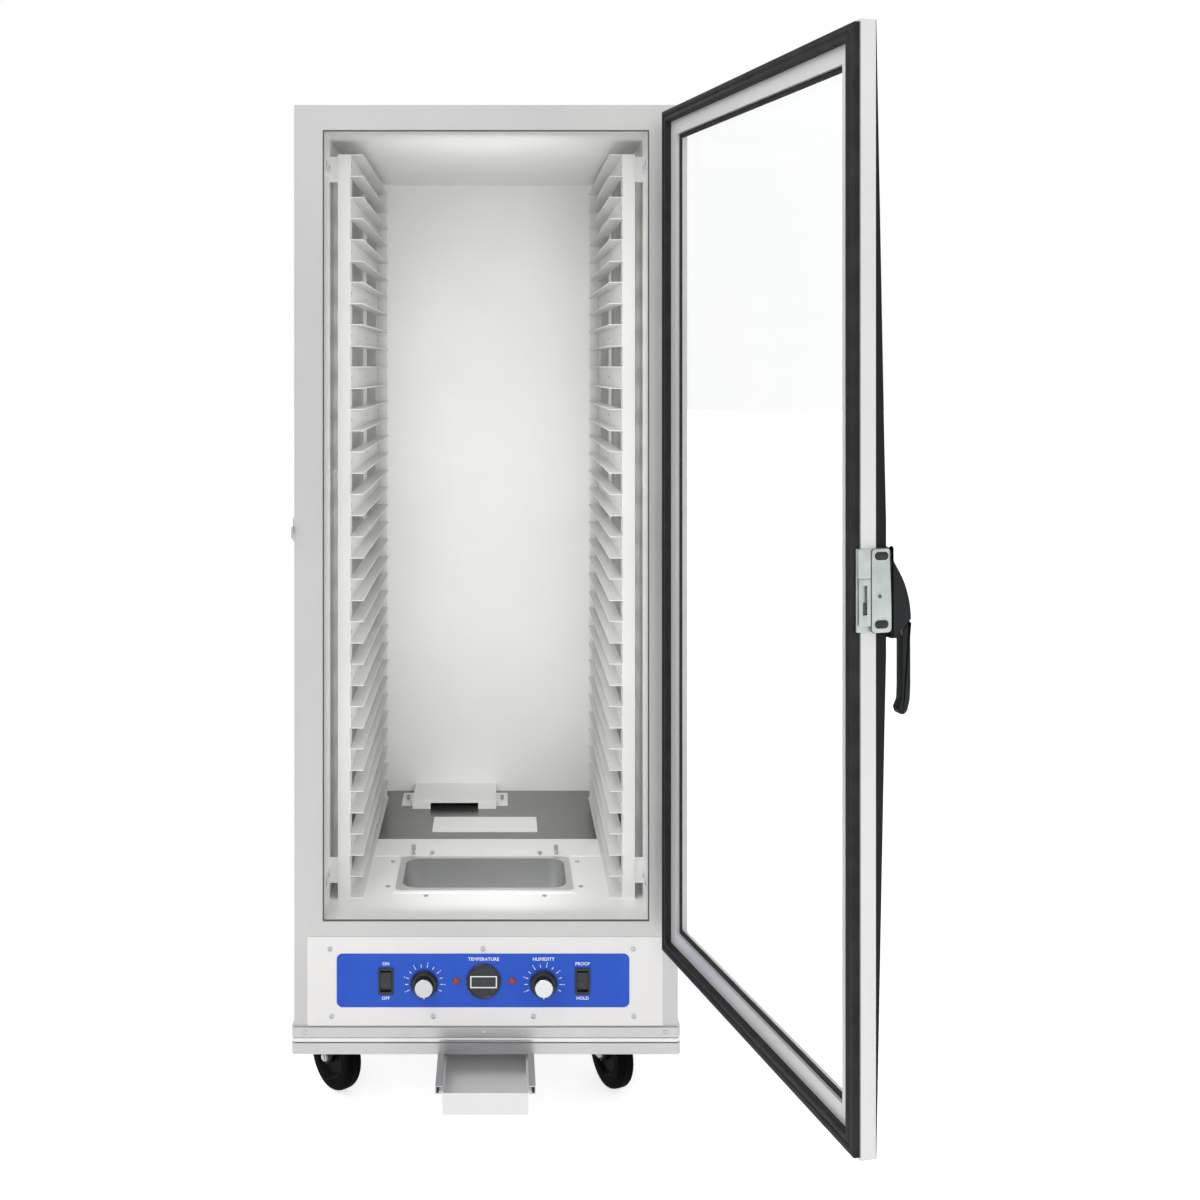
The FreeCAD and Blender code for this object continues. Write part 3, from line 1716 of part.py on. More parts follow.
def build():
    sub_part("base_frame", chassis())
    sub_part("front_frame", front_frame())
    body_panels()
    sub_part("rear_panel", rear_panel())
    sub_part("inner_liner", liners())
    sub_part("insulation", insulation())
    floors()
    sub_part("pan_frame", pan_frame())
    sub_part("water_pan", water_pan())
    sub_part("duct_cover", duct_cover())
    sub_part("panel_screws", panel_screws())
    sub_part("rack_left", rack(-1))
    sub_part("rack_right", rack(1))
    sub_part("rack_brackets", rack_brackets())
    sub_part("control_plate", control_plate())
    sub_part("control_decal", control_decal())
    housings = [switch_housing(d.rocker_left_x), switch_housing(d.rocker_right_x)]
    sub_part("switch_housings", group(*housings))
    sub_part("rocker_left", rocker(d.rocker_left_x))
    sub_part("rocker_right", rocker(d.rocker_right_x))
    sub_part("knob_left", knob(d.knob_left_x))
    sub_part("knob_right", knob(d.knob_right_x))
    sub_part("thermostats", thermostats())
    sub_part("pilot_lamps", pilot_lamps())
    sub_part("thermometer", thermometer())
    sub_part("display_frame", display_frame())
    sub_part("door_frame", on_door(door_frame()))
    gasket_start = inner_face
    gasket = door_ring(d.gasket_inset, d.gasket_width, gasket_start, d.gasket_height)
    sub_part("door_gasket", on_door(gasket))
    sub_part("inner_glass", on_door(inner_glass()))
    seal_start = inner_face - d.glass_recess
    seal = door_ring(d.door_stile, d.seal_width, seal_start, d.seal_height)
    sub_part("glass_seal", on_door(seal))
    sub_part("edge_trims", on_door(edge_trims()))
    sub_part("outer_glass", on_door(outer_glass()))
    sub_part("door_hinge_leaves", on_door(door_hinge_leaves()))
    sub_part("body_hinge_leaves", body_hinge_leaves())
    sub_part("latch_case", on_door(latch_case()))
    sub_part("handle_housing", on_door(handle_housing()))
    sub_part("handle_lever", on_door(handle_lever()))
    sub_part("latch_hook", on_door(latch_hook()))
    sub_part("latch_keeper", keeper())
    sub_part("tray_rails", tray_rails())
    sub_part("drip_tray", drip_tray())
    sub_part("caster_plates", caster_plates())
    for name, x, y, heading in caster_places():
        braked = name.startswith("front")
        sub_part("caster_fork_" + name, fork(x, y, heading, braked))
        sub_part("caster_wheel_" + name, wheel(x, y, heading))
        if braked:
            sub_part("brake_pedal_" + name, pedal(x, y, heading))
    sub_part("heating_elements", heating_elements())
    sub_part("blower_housing", blower_housing())
    sub_part("fan_motor", fan_motor())
    sub_part("fan_wheel", fan_wheel())
    sub_part("power_inlet", power_inlet())


build()
doc.recompute()
for thing in doc.Objects:
    if "Invalid" in thing.State or "Error" in thing.State:
        raise RuntimeError("%s (%s) failed: %s" % (thing.Name, thing.Label, thing.State))
os.makedirs("parts", exist_ok=True)
for part in SUB_PARTS:
    shape = part.Shape
    if shape.isNull() or not shape.isValid() or not shape.Solids:
        raise RuntimeError("%s has no valid shape" % part.Label)
    print("%-28s %3d solids %12.1f mm3" % (part.Label, len(shape.Solids), shape.Volume))
for part in SUB_PARTS:
    part.Shape.exportStep("parts/%s.step" % part.Label)
print(len(SUB_PARTS), "sub-parts written")
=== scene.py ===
# %% [markdown]
# # A heated holding cabinet in Blender
# The cabinet was first built as solid parts that pack into one model. That model is
# the skeleton here: every part keeps its place, and this script dresses it. Each cell
# adds one finish or one piece, so it can be read and tried a step at a time.

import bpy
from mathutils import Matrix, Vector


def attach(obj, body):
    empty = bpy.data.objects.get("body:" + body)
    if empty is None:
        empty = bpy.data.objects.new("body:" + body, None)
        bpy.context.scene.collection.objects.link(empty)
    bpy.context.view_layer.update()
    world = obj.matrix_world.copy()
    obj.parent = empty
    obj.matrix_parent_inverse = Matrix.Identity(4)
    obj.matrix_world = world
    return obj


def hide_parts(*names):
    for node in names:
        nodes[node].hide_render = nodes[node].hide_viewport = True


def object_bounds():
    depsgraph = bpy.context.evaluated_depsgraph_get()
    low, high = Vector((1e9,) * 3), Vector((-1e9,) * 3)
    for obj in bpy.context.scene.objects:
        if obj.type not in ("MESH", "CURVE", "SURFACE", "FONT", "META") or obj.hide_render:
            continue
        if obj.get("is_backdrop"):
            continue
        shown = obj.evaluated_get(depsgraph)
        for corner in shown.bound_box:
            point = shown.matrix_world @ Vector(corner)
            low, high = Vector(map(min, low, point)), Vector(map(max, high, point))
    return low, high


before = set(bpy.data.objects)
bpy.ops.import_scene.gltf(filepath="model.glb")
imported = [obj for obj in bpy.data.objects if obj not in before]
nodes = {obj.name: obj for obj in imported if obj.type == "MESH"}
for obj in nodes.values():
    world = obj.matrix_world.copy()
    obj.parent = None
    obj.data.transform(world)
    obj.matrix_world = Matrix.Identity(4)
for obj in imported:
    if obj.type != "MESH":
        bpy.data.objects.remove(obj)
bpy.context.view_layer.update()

# %% The tools that the rest uses
import math

import bmesh
import bpy
from mathutils import Matrix, Vector

scene = bpy.context.scene

# %% [markdown]
# ## Where things are
# Everything is in metres, with Z up, the front at -Y and the hinges at +X. The origin
# is the middle of the chassis underside. The door stands open, so pieces on it are
# drawn as if it were shut, measured from its hinge axis, and one matrix swings them.

# %% Planes and turns
FRONT = -0.398
FLOOR = 0.2265
GROUND = -0.157
HINGE_AXIS = Vector((0.333, -0.442, 0))
OPEN_ANGLE = math.radians(104.7)
TO_DOOR = Matrix.Translation(HINGE_AXIS) @ Matrix.Rotation(OPEN_ANGLE, 4, "Z")
# Local +Z faces the front of the cabinet, and local +Y is up.
TO_FRONT = Matrix.Rotation(math.pi / 2, 4, "X")
TO_BACK = Matrix.Rotation(math.pi, 4, "Z") @ TO_FRONT
# A side view drawn in XY becomes a bar along X: local x is depth, local y is height.
SIDE_VIEW = Matrix(((0, 0, 1, 0), (1, 0, 0, 0), (0, 1, 0, 0), (0, 0, 0, 1)))


def on_front(x, y, z, turn=0.0):
    """A place that faces the front, turned about its own outward axis."""
    return Matrix.Translation((x, y, z)) @ TO_FRONT @ Matrix.Rotation(turn, 4, "Z")


print("front plane", FRONT, "floor", FLOOR, "ground", GROUND)

# %% [markdown]
# ## Colours and nodes
# Colours are picked as sRGB hex codes, but shaders count in linear light, so one
# function converts them. One more adds a node: a capital letter or a number names
# an input socket, and a small letter names a property of the node.


# %% Two small functions
def srgb(code):
    """Linear colour from an sRGB hex code."""
    shares = [int(code[i : i + 2], 16) / 255 for i in (0, 2, 4)]
    return [s / 12.92 if s <= 0.04045 else ((s + 0.055) / 1.055) ** 2.4 for s in shares] + [1.0]


def add(tree, kind, settings=None, links=None):
    """Adds one node, with its settings and the sockets that feed it."""
    made = tree.nodes.new("ShaderNode" + kind)
    for name, value in (settings or {}).items():
        if isinstance(name, int) or name[0].isupper():
            made.inputs[name].default_value = value
        else:
            setattr(made, name, value)
    for name, socket in (links or {}).items():
        tree.links.new(socket, made.inputs[name])
    return made


print("mid grey in linear light:", round(srgb("808080")[0], 3))

# %% [markdown]
# ## One recipe for a worked surface
# Real sheet, plastic and rubber all show the same three things at different sizes:
# a fine grain that scatters the gloss, a relief that the light catches, and broad
# clouds of slightly different colour. Noise on object coordinates gives all three, and
# it stays on the part when a joint moves it. Sizes are in millimetres. A scale of
# 1000 divided by the size gives noise of that size, because the scene is in metres.

# %% The worked surface
# Noise stays near its middle, so this span of it is stretched to the full range.
NOISE_LOW, NOISE_HIGH = 0.3, 0.7


def worked(name, dark, light, roughness, metallic, grain, lay=(1, 1, 1), relief=0.02,
           spread=0.06, cloud=300.0, **constants):
    """A material with grain, relief and clouding; lay shortens the grain's axes."""
    material = bpy.data.materials.new(name)
    material.use_nodes = True
    tree = material.node_tree
    shader = tree.nodes["Principled BSDF"]
    shader.inputs["Metallic"].default_value = metallic
    for socket, value in constants.items():
        shader.inputs[socket.replace("_", " ")].default_value = value
    place = add(tree, "TexCoord").outputs["Object"]
    along = add(tree, "Mapping", {"Scale": lay}, {"Vector": place}).outputs["Vector"]
    fine = add(tree, "TexNoise", {"Scale": 1000 / grain, "Detail": 3.0}, {"Vector": along})
    broad = add(tree, "TexNoise", {"Scale": 1000 / cloud, "Detail": 3.0}, {"Vector": place})
    gloss = add(
        tree,
        "MapRange",
        {"From Min": NOISE_LOW, "From Max": NOISE_HIGH,
         "To Min": roughness - spread, "To Max": roughness + spread},
        {"Value": fine.outputs["Fac"]},
    )
    shade = add(tree, "ValToRGB", links={"Fac": broad.outputs["Fac"]})
    stops = zip(shade.color_ramp.elements, (dark, light), (NOISE_LOW, NOISE_HIGH))
    for element, code, position in stops:
        element.color = srgb(code)
        element.position = position
    raised = add(
        tree, "Bump", {"Strength": 0.5, "Distance": relief / 1000}, {"Height": fine.outputs["Fac"]}
    )
    tree.links.new(gloss.outputs["Result"], shader.inputs["Roughness"])
    tree.links.new(shade.outputs["Color"], shader.inputs["Base Color"])
    tree.links.new(raised.outputs["Normal"], shader.inputs["Normal"])
    return material


print("a 2.5 mm grain needs a noise scale of", 1000 / 2.5)

# %% [markdown]
# ## Sheet metal outside
# The body is satin sheet: a belt leaves lines that run one way, so reflections smear
# across them. A brushing line is about 0.1 mm wide, which is far under a pixel, so the
# grain is drawn 1.5 mm wide to show at all. The lay makes it eighty times as long
# along the brushing as across it. The body's face has a clear lacquer over it, so it
# is more a pale grey than a mirror, and mixes metal with paint.

# %% Satin sheet, by brushing direction
ACROSS = (0.012, 1, 1)
IN_DEPTH = (1, 0.012, 1)
UPRIGHT = (1, 1, 0.012)
satin_front = worked("satin_sheet_front", "bebebe", "c7c7c6", 0.4, 0.5, 1.5, UPRIGHT)
satin_side = worked("satin_sheet_side", "c9c9c8", "cececd", 0.38, 0.7, 1.5, UPRIGHT)
satin_top = worked("satin_sheet_top", "cacac9", "cfcfce", 0.38, 0.7, 1.5, IN_DEPTH)
satin_back = worked("satin_sheet_back", "aeb0b1", "b6b8b8", 0.42, 0.9, 1.5, ACROSS)
stainless_band = worked("brushed_stainless_band", "b4b4b4", "c2c2c2", 0.34, 0.9, 1.5, ACROSS)
stainless_tray = worked("satin_stainless_tray", "eaeaea", "f2f2f1", 0.42, 0.05, 1.5, IN_DEPTH)
print("brushing directions:", ACROSS, IN_DEPTH, UPRIGHT)

# %% [markdown]
# The inside is brighter and softer: mill-finished aluminium, straight from the
# rolls, has a dull silvery white with no brushing to speak of. The racks are folded
# from it and the door frame is an anodised extrusion. The pan is polished, deep-drawn
# stainless, so it softly mirrors its own walls. The rear floor is a darker sheet that
# bakes over the blower.

# %% Mill aluminium, drawn stainless and the baked rear floor
aluminium_liner = worked("mill_aluminium_liner", "e9e9e6", "f1f1ef", 0.5, 0.1, 2.5, UPRIGHT, 0.01)
aluminium_floor = worked("mill_aluminium_floor", "e6e6e4", "eeeeec", 0.42, 0.15, 2.5, ACROSS, 0.01)
aluminium_rack = worked("folded_aluminium_rack", "dadad9", "e4e4e3", 0.42, 0.2, 1.5, IN_DEPTH)
anodised_door = worked("anodised_door_extrusion", "d8d8d9", "e1e1e2", 0.38, 0.25, 1.5, UPRIGHT)
baked_floor = worked("baked_steel_floor", "808080", "8e8e8d", 0.32, 0.8, 1.5, ACROSS)
drawn_pan = worked("polished_drawn_stainless", "c4c5c5", "d6d7d7", 0.3, 0.8, 9.0, relief=0.004,
                   spread=0.01)
bright_trim = worked("bright_rolled_trim", "c8c9ca", "dcdddd", 0.22, 0.9, 2.0, relief=0.005)
print("liner", aluminium_liner.name, "and pan", drawn_pan.name)

# %% [markdown]
# ## Plated and painted metal
# The latch, the hinges and the screws are zinc plated. The bath leaves a cool tint and
# crystals of about 5 mm, drawn as a grain over faint clouds of 20 mm. The forks of the
# casters are thick pressed steel drawn near black: partly a dark coating, and partly
# painted shade for their place under the base band, so they hardly shine. The control
# plate is stove-enamelled, and its lacquer dries with an orange peel of about 2.5 mm.

# %% Zinc, enamel and dark metals
zinc_plate = worked("bright_zinc_plate", "b3bab9", "c3cbc9", 0.36, 0.75, 5.0, relief=0.02,
                    cloud=20.0)
# Near black: partly the fork's coating, partly painted shade from the base band above it.
fork_coat_and_shade = worked("fork_coat_and_painted_shade", "0f1011", "1a1b1c", 0.5, 0.3, 4.0, relief=0.03,
                    cloud=60.0, Specular_IOR_Level=0.2)
enamel_white = worked("white_stove_enamel", "eceae9", "f2f1f0", 0.4, 0.0, 2.5, relief=0.01)
element_sheath = worked("oxidised_element_sheath", "4a4744", "6a6662", 0.5, 0.8, 3.0, cloud=40.0)
knob_disc = worked("spun_aluminium_disc", "b4b6b6", "d2d4d4", 0.28, 0.9, 1.0, relief=0.01)
fan_sheet = worked("galvanised_fan_sheet", "b1b3b5", "c6c8ca", 0.34, 0.95, 6.0, cloud=25.0)
print("zinc crystals of 5 mm, orange peel of 2.5 mm")

# %% [markdown]
# ## Plastics, ink and rubber
# Switches, knobs and the meter are moulded ABS, with a spark-eroded grain of about
# half a millimetre. The grip is glass-filled nylon, smoother and a little greyer. The
# blue film is screen-printed polycarbonate, whose clear face has its own soft gloss,
# so it gets a coat. Rubber is matt. Black parts would look grey under the white
# surround at the usual specular level, so theirs is lowered.

# %% Moulded and printed finishes
DARK = {"Specular_IOR_Level": 0.2}
abs_black = worked("moulded_abs_black", "17191b", "222527", 0.42, 0.0, 1.2, relief=0.05, cloud=35.0)
nylon_grip = worked("glass_filled_nylon", "121517", "1d2123", 0.4, 0.0, 1.6, relief=0.04, cloud=40.0,
                    **DARK)
trim_black = worked("extruded_pvc_trim", "0d0e0f", "151617", 0.5, 0.0, 1.5, UPRIGHT, 0.02, cloud=60.0,
                    **DARK)
dial_gloss = worked("glossy_dial_plastic", "0b0d10", "14171b", 0.2, 0.0, 1.0, relief=0.005,
                    spread=0.03)
knob_black = worked("phenolic_knob", "131518", "1e2124", 0.4, 0.0, 1.2, relief=0.03, cloud=25.0)
film_blue = worked(
    "printed_polycarbonate_film", "2052c4", "2759cc", 0.45, 0.0, 0.9, relief=0.01, cloud=90.0,
    Specular_IOR_Level=0.3, Coat_Weight=0.08, Coat_Roughness=0.3,
)
ink_white = worked("screen_printed_ink", "eef1f8", "f8f9fc", 0.5, 0.0, 1.0, relief=0.005)
label_card = worked("coated_label_stock", "f0f0ef", "f8f8f7", 0.55, 0.0, 3.0, relief=0.01)
rubber_seal = worked("epdm_door_seal", "1c1d1c", "2a2b2a", 0.6, 0.0, 2.4, relief=0.06, cloud=30.0,
                     **DARK)
rubber_tyre = worked("thermoplastic_tyre", "040404", "080808", 0.7, 0.0, 2.4, relief=0.08,
                     cloud=30.0, Specular_IOR_Level=0.04)
# Near black: partly the hub's own colour, partly painted shade from the base band above it.
hub_nylon = worked("moulded_hub_nylon", "060707", "0a0b0b", 0.5, 0.0, 1.5, relief=0.03, cloud=30.0,
                   Specular_IOR_Level=0.05)
# This dark grey is the sealant in the opening's joint, and also the painted shadow line round the
# latch cover.
sealant_and_painted_shadow = worked("grey_sealant_and_painted_shadow", "4a4a49", "5a5a59", 0.6, 0.0, 2.0, relief=0.02)
motor_paint = worked("motor_can_paint", "2a2c2e", "35373a", 0.5, 0.0, 3.0, relief=0.05, cloud=60.0)
wool_batt = worked("mineral_wool_batt", "b7a65e", "ded08f", 0.95, 0.0, 6.0, (1, 1, 0.25), 2.0, 0.04)
display_grey = worked("lcd_window", "1a2226", "222b30", 0.25, 0.0, 2.0, relief=0.002)
segment_grey = worked("lcd_segment", "222b30", "2a343a", 0.3, 0.0, 2.0, relief=0.002)
print("moulded, printed and rubber finishes made")

# %% [markdown]
# ## Glass and the red lenses
# Both door panes are tempered float glass. The render sees mostly what is behind
# them, so the pane is almost clear. Its refraction is eased, because two thick
# panes at full strength would shift the view behind the door. The lens of a pilot lamp is
# moulded with small pyramids that throw light sideways, drawn as a relief of 1.6 mm.

# %% Clear glass and red acrylic
glass_clear = worked(
    "tempered_float_glass", "feffff", "ffffff", 0.02, 0.0, 60.0, relief=0.0005, spread=0.01,
    Transmission_Weight=1.0, IOR=1.06,
)
lens_red = worked("pyramid_acrylic_lens", "6d1219", "b02a2c", 0.2, 0.0, 1.6, relief=0.08, cloud=2.4,
                  Coat_Weight=0.6)
print("glass", glass_clear.name, "lens", lens_red.name)

# %% [markdown]
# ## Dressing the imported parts
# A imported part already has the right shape, so it only changes its material. Its
# mesh is never touched. Where a real edge is visibly rounded, a weld joins the loose
# triangles and a bevel rounds what the weld joined, both as modifiers.

# %% A finish for every part
CORNERS = ("front_left", "front_right", "back_left", "back_right")
FINISHES = {
    satin_front: "front_frame",
    satin_side: "side_panels",
    satin_top: "top_panel",
    satin_back: "back_panel rear_panel blower_housing",
    stainless_band: "base_frame caster_plates tray_rails",
    stainless_tray: "drip_tray",
    aluminium_rack: "rack_left rack_right rack_brackets",
    anodised_door: "door_frame",
    aluminium_liner: "inner_liner duct_cover",
    aluminium_floor: "floor_front pan_frame",
    baked_floor: "floor_rear",
    drawn_pan: "water_pan",
    bright_trim: "display_frame",
    enamel_white: "control_plate",
    film_blue: "control_decal",
    zinc_plate: "latch_case latch_keeper door_hinge_leaves body_hinge_leaves panel_screws",
    fork_coat_and_shade: " ".join("caster_fork_" + corner for corner in CORNERS),
    rubber_tyre: " ".join("caster_wheel_" + corner for corner in CORNERS),
    abs_black: "switch_housings thermostats power_inlet rocker_left rocker_right"
    " brake_pedal_front_left brake_pedal_front_right",
    knob_black: "knob_left knob_right",
    trim_black: "edge_trims",
    nylon_grip: "handle_housing handle_lever",
    rubber_seal: "door_gasket glass_seal",
    glass_clear: "inner_glass outer_glass",
    wool_batt: "insulation",
    lens_red: "pilot_lamps",
    dial_gloss: "thermometer",
    element_sheath: "heating_elements latch_hook",
    motor_paint: "fan_motor",
    fan_sheet: "fan_wheel",
}
for material, names in FINISHES.items():
    for name in names.split():
        nodes[name].data.materials.clear()
        nodes[name].data.materials.append(material)
print(sum(len(names.split()) for names in FINISHES.values()), "of", len(nodes), "parts finished")

# %% Soft edges on the thicker parts
WELD_REACH = 0.00001
EDGE_WIDTHS = {
    "base_frame": 0.0012,
    "latch_hook": 0.0004,
    "rocker_left": 0.0006,
    "rocker_right": 0.0006,
    "switch_housings": 0.0006,
    "display_frame": 0.0003,
    "brake_pedal_front_left": 0.0012,
    "brake_pedal_front_right": 0.0012,
}


def weld(thing):
    """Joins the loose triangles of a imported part, with a modifier."""
    thing.modifiers.new("weld", "WELD").merge_threshold = WELD_REACH


def soften(thing, width):
    """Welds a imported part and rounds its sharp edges, with modifiers."""
    weld(thing)
    bevel = thing.modifiers.new("edges", "BEVEL")
    bevel.width = width
    bevel.segments = 2
    bevel.limit_method = "ANGLE"
    bevel.angle_limit = math.radians(40)
    bevel.harden_normals = True


for name, width in EDGE_WIDTHS.items():
    soften(nodes[name], width)
print("softened", ", ".join(EDGE_WIDTHS))

# %% [markdown]
# The panes sit in the door without any gap, so glass and frame share some planes. Two
# surfaces in one plane render black or flicker, because a ray can't tell which it meets
# first. Moved along its normals, each pane draws in by a fifth of a millimetre, which
# no one sees.

# %% A hair of air round the panes
PANE_AIR = 0.0002


def ease(thing, amount):
    """Draws the faces of a pane in by a small amount, with modifiers."""
    weld(thing)
    shrink = thing.modifiers.new("air", "DISPLACE")
    shrink.strength = -amount
    shrink.mid_level = 0


for name in ("outer_glass", "inner_glass"):
    ease(nodes[name], PANE_AIR)
print("panes eased by", PANE_AIR, "m")

# %% [markdown]
# ## Four ways to start a shape
# Nearly every piece below is spun, plated, framed or moulded. Spinning a profile
# about an axis gives knobs, lamps and wheels. A plate is a flat outline whose corners
# are rounded before it is extruded. A frame grows inwards from a rectangle one
# step at a time, which mitres its corners. Its first step stays flat, since a lone face
# can't be raised by an inset. A moulding is a plate with rounded rims.

# %% Spin a profile
# Points that are nearer to each other than this count as one.
SAME_PLACE = 0.000001


def spun(profile, steps=48, closed=False):
    """Spins (radius, height) points once round Z; closed joins the last to the first."""
    mesh = bmesh.new()
    points = [mesh.verts.new((radius, 0, height)) for radius, height in profile]
    followers = points[1:] + points[:1] if closed else points[1:]
    edges = [mesh.edges.new(pair) for pair in zip(points, followers)]
    bmesh.ops.spin(
        mesh, geom=points + edges, cent=(0, 0, 0), axis=(0, 0, 1), angle=math.tau,
        steps=steps, use_merge=True,
    )
    bmesh.ops.remove_doubles(mesh, verts=mesh.verts, dist=SAME_PLACE)
    bmesh.ops.recalc_face_normals(mesh, faces=mesh.faces)
    return mesh


# %% Extrude a flat outline
def raise_face(mesh, height):
    """Extrudes every face of a flat mesh up by a height, into a closed solid."""
    grown = bmesh.ops.extrude_face_region(mesh, geom=mesh.faces[:])["geom"]
    tops = [item for item in grown if isinstance(item, bmesh.types.BMVert)]
    bmesh.ops.translate(mesh, verts=tops, vec=(0, 0, height))
    bmesh.ops.recalc_face_normals(mesh, faces=mesh.faces)
    return mesh


def flat_shape(points, corner=0.0, segments=4):
    """A face on z 0 from (x, y) points, with rounded corners."""
    mesh = bmesh.new()
    mesh.faces.new([mesh.verts.new((x, y, 0)) for x, y in points])
    if corner:
        bmesh.ops.bevel(
            mesh, geom=mesh.verts[:], offset=corner, affect="VERTICES", segments=segments,
            profile=0.5, material=-1,
        )
    return mesh


def plate(points, height, corner=0.0, segments=4):
    """A solid from (x, y) points, with rounded corners, from z 0 up."""
    return raise_face(flat_shape(points, corner, segments), height)


def oblong(width, depth):
    """The four corners of a rectangle round the origin."""
    x, y = width / 2, depth / 2
    return [(-x, -y), (x, -y), (x, y), (-x, y)]


# %% Round the rims of a plate
def round_rims(mesh, width, segments=3, top_only=False):
    """Bevels the edges where a plate's flat ends meet its side."""
    top = max(vert.co.z for vert in mesh.verts)
    rims = []
    for edge in mesh.edges:
        heights = [vert.co.z for vert in edge.verts]
        level = abs(heights[0] - heights[1]) < SAME_PLACE
        if level and (not top_only or abs(heights[0] - top) < SAME_PLACE):
            rims.append(edge)
    bmesh.ops.bevel(
        mesh, geom=rims, offset=width, affect="EDGES", segments=segments, profile=0.5, material=-1
    )
    return mesh


# %% Grow a mitred frame
FLAT_STEP = (0.0001, 0)


def framed(width, height, steps):
    """A frame lying on z 0: steps are (inwards, up) moves from its outer edge."""
    mesh = flat_shape(oblong(width, height))
    face = mesh.faces[:][0]
    for inwards, up in [FLAT_STEP] + steps:
        bmesh.ops.inset_region(
            mesh, faces=[face], thickness=inwards, depth=up, use_even_offset=True, use_boundary=True
        )
    bmesh.ops.delete(mesh, geom=[face], context="FACES_ONLY")
    rims = [edge for edge in mesh.edges if edge.is_boundary]
    bmesh.ops.bridge_loops(mesh, edges=rims)
    bmesh.ops.recalc_face_normals(mesh, faces=mesh.faces)
    return mesh


# %% Join shapes and finish a piece
def put(target, part, matrix=Matrix()):
    """Moves one bmesh by a matrix and adds it to another."""
    bmesh.ops.transform(part, matrix=matrix, verts=part.verts)
    passing = bpy.data.meshes.new("passing")
    part.to_mesh(passing)
    part.free()
    target.from_mesh(passing)
    bpy.data.meshes.remove(passing)


def piece(name, mesh, material, body, replaces=(), matrix=Matrix(), sharp=35):
    """Makes an object at the origin, riding on a body, with smooth faces and sharp edges."""
    bmesh.ops.transform(mesh, matrix=matrix, verts=mesh.verts)
    data = bpy.data.meshes.new(name)
    mesh.to_mesh(data)
    mesh.free()
    data.materials.append(material)
    data.shade_smooth()
    data.set_sharp_from_angle(angle=math.radians(sharp))
    made = bpy.data.objects.new(name, data)
    scene.collection.objects.link(made)
    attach(made, body)
    if replaces:
        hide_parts(*replaces)
    print(name, "has", len(data.polygons), "faces")


# %% [markdown]
# ## Screws
# Pan-head screws hold the plates. Their domed head with its cross recess is small, but
# a flat disc would betray the scale. A grid of five by five faces is bent into a
# disc and domed, the plus in its middle is pushed down, and its rim is pulled to the
# panel. Twenty side faces are enough at this size.

# %% A cross-recess head
DOME_DROP, RECESS = 0.45, 0.5


def pan_head(radius, height):
    """A domed screw head with a cross in it, from z 0 up."""
    mesh = bmesh.new()
    bmesh.ops.create_grid(mesh, x_segments=5, y_segments=5, size=1)
    for vert in mesh.verts:
        square, round_ = max(abs(vert.co.x), abs(vert.co.y)), vert.co.to_2d().length
        if round_:
            vert.co.xy *= square / round_
        vert.co.z = 1 - DOME_DROP * vert.co.to_2d().length_squared
    middle = [f for f in mesh.faces if f.calc_center_median().to_2d().length < 0.5]
    bmesh.ops.inset_region(mesh, faces=middle, thickness=0.0, depth=-RECESS)
    rim = [edge for edge in mesh.edges if edge.is_boundary]
    grown = bmesh.ops.extrude_edge_only(mesh, edges=rim)["geom"]
    for vert in grown:
        if isinstance(vert, bmesh.types.BMVert):
            vert.co.z = 0
    feet = [edge for edge in mesh.edges if edge.is_boundary]
    bmesh.ops.holes_fill(mesh, edges=feet, sides=0)
    bmesh.ops.scale(mesh, vec=(radius, radius, height), verts=mesh.verts)
    bmesh.ops.recalc_face_normals(mesh, faces=mesh.faces)
    return mesh


# %% [markdown]
# The clips behind the water pan and on the duct cover are thumb screws: a collar, a
# neck and a knurled head. A circle whose every other point is pulled in gives the
# knurl before it is extruded.

# %% A knurled thumb screw
# Shares of the whole height, and of the radius.
COLLAR_TOP, NECK_LOW, NECK_TOP, HEAD_SHARE = 0.12, 0.2, 0.45, 0.55
NECK_RADIUS, KNURL = 0.5, 0.9


def thumb_screw(radius, height):
    """A collar, a neck and a knurled head, from z 0 up."""
    neck = radius * NECK_RADIUS
    mesh = spun([(0, 0), (radius, 0), (radius, height * COLLAR_TOP), (neck, height * NECK_LOW),
                 (neck, height * NECK_TOP), (0, height * NECK_TOP)], 20)
    head = bmesh.new()
    bmesh.ops.create_circle(head, cap_ends=True, segments=36, radius=radius)
    for vert in list(head.verts)[::2]:
        vert.co *= KNURL
    put(mesh, round_rims(raise_face(head, height * HEAD_SHARE), radius * 0.08, 2),
        Matrix.Translation((0, 0, height * NECK_TOP)))
    return mesh


# %% All the screws of the cabinet body
PLATE_FACE = FRONT - 0.0015
BAND_FACE = FRONT - 0.004
COVER_TOP = FLOOR + 0.0012
THUMB_RADIUS = 0.0042
PLATE_SCREWS = [(-0.268, 0.18), (-0.005, 0.18), (0.253, 0.18)]
PLATE_SCREWS += [(-0.265, 0.064), (-0.091, 0.064), (0.082, 0.064), (0.254, 0.064)]
BAND_SCREWS = [(-0.311, 0.0375), (-0.003, 0.0375), (0.308, 0.0375)]
FLOOR_SCREWS = [(-0.1808, -0.2351), (-0.1808, -0.1049), (0.1728, -0.2351)]
FLOOR_SCREWS += [(0.1728, -0.1049), (-0.1089, -0.2806), (0.1042, -0.2806)]
SHORT_CLIPS = [(-0.1072, -0.0646), (0.1026, -0.0646)]
TALL_CLIPS = [(-0.1439, -0.0646), (0.1342, -0.0646)]
COVER_SCREWS = [(-0.176, 0.2865), (0.03, 0.2865)]

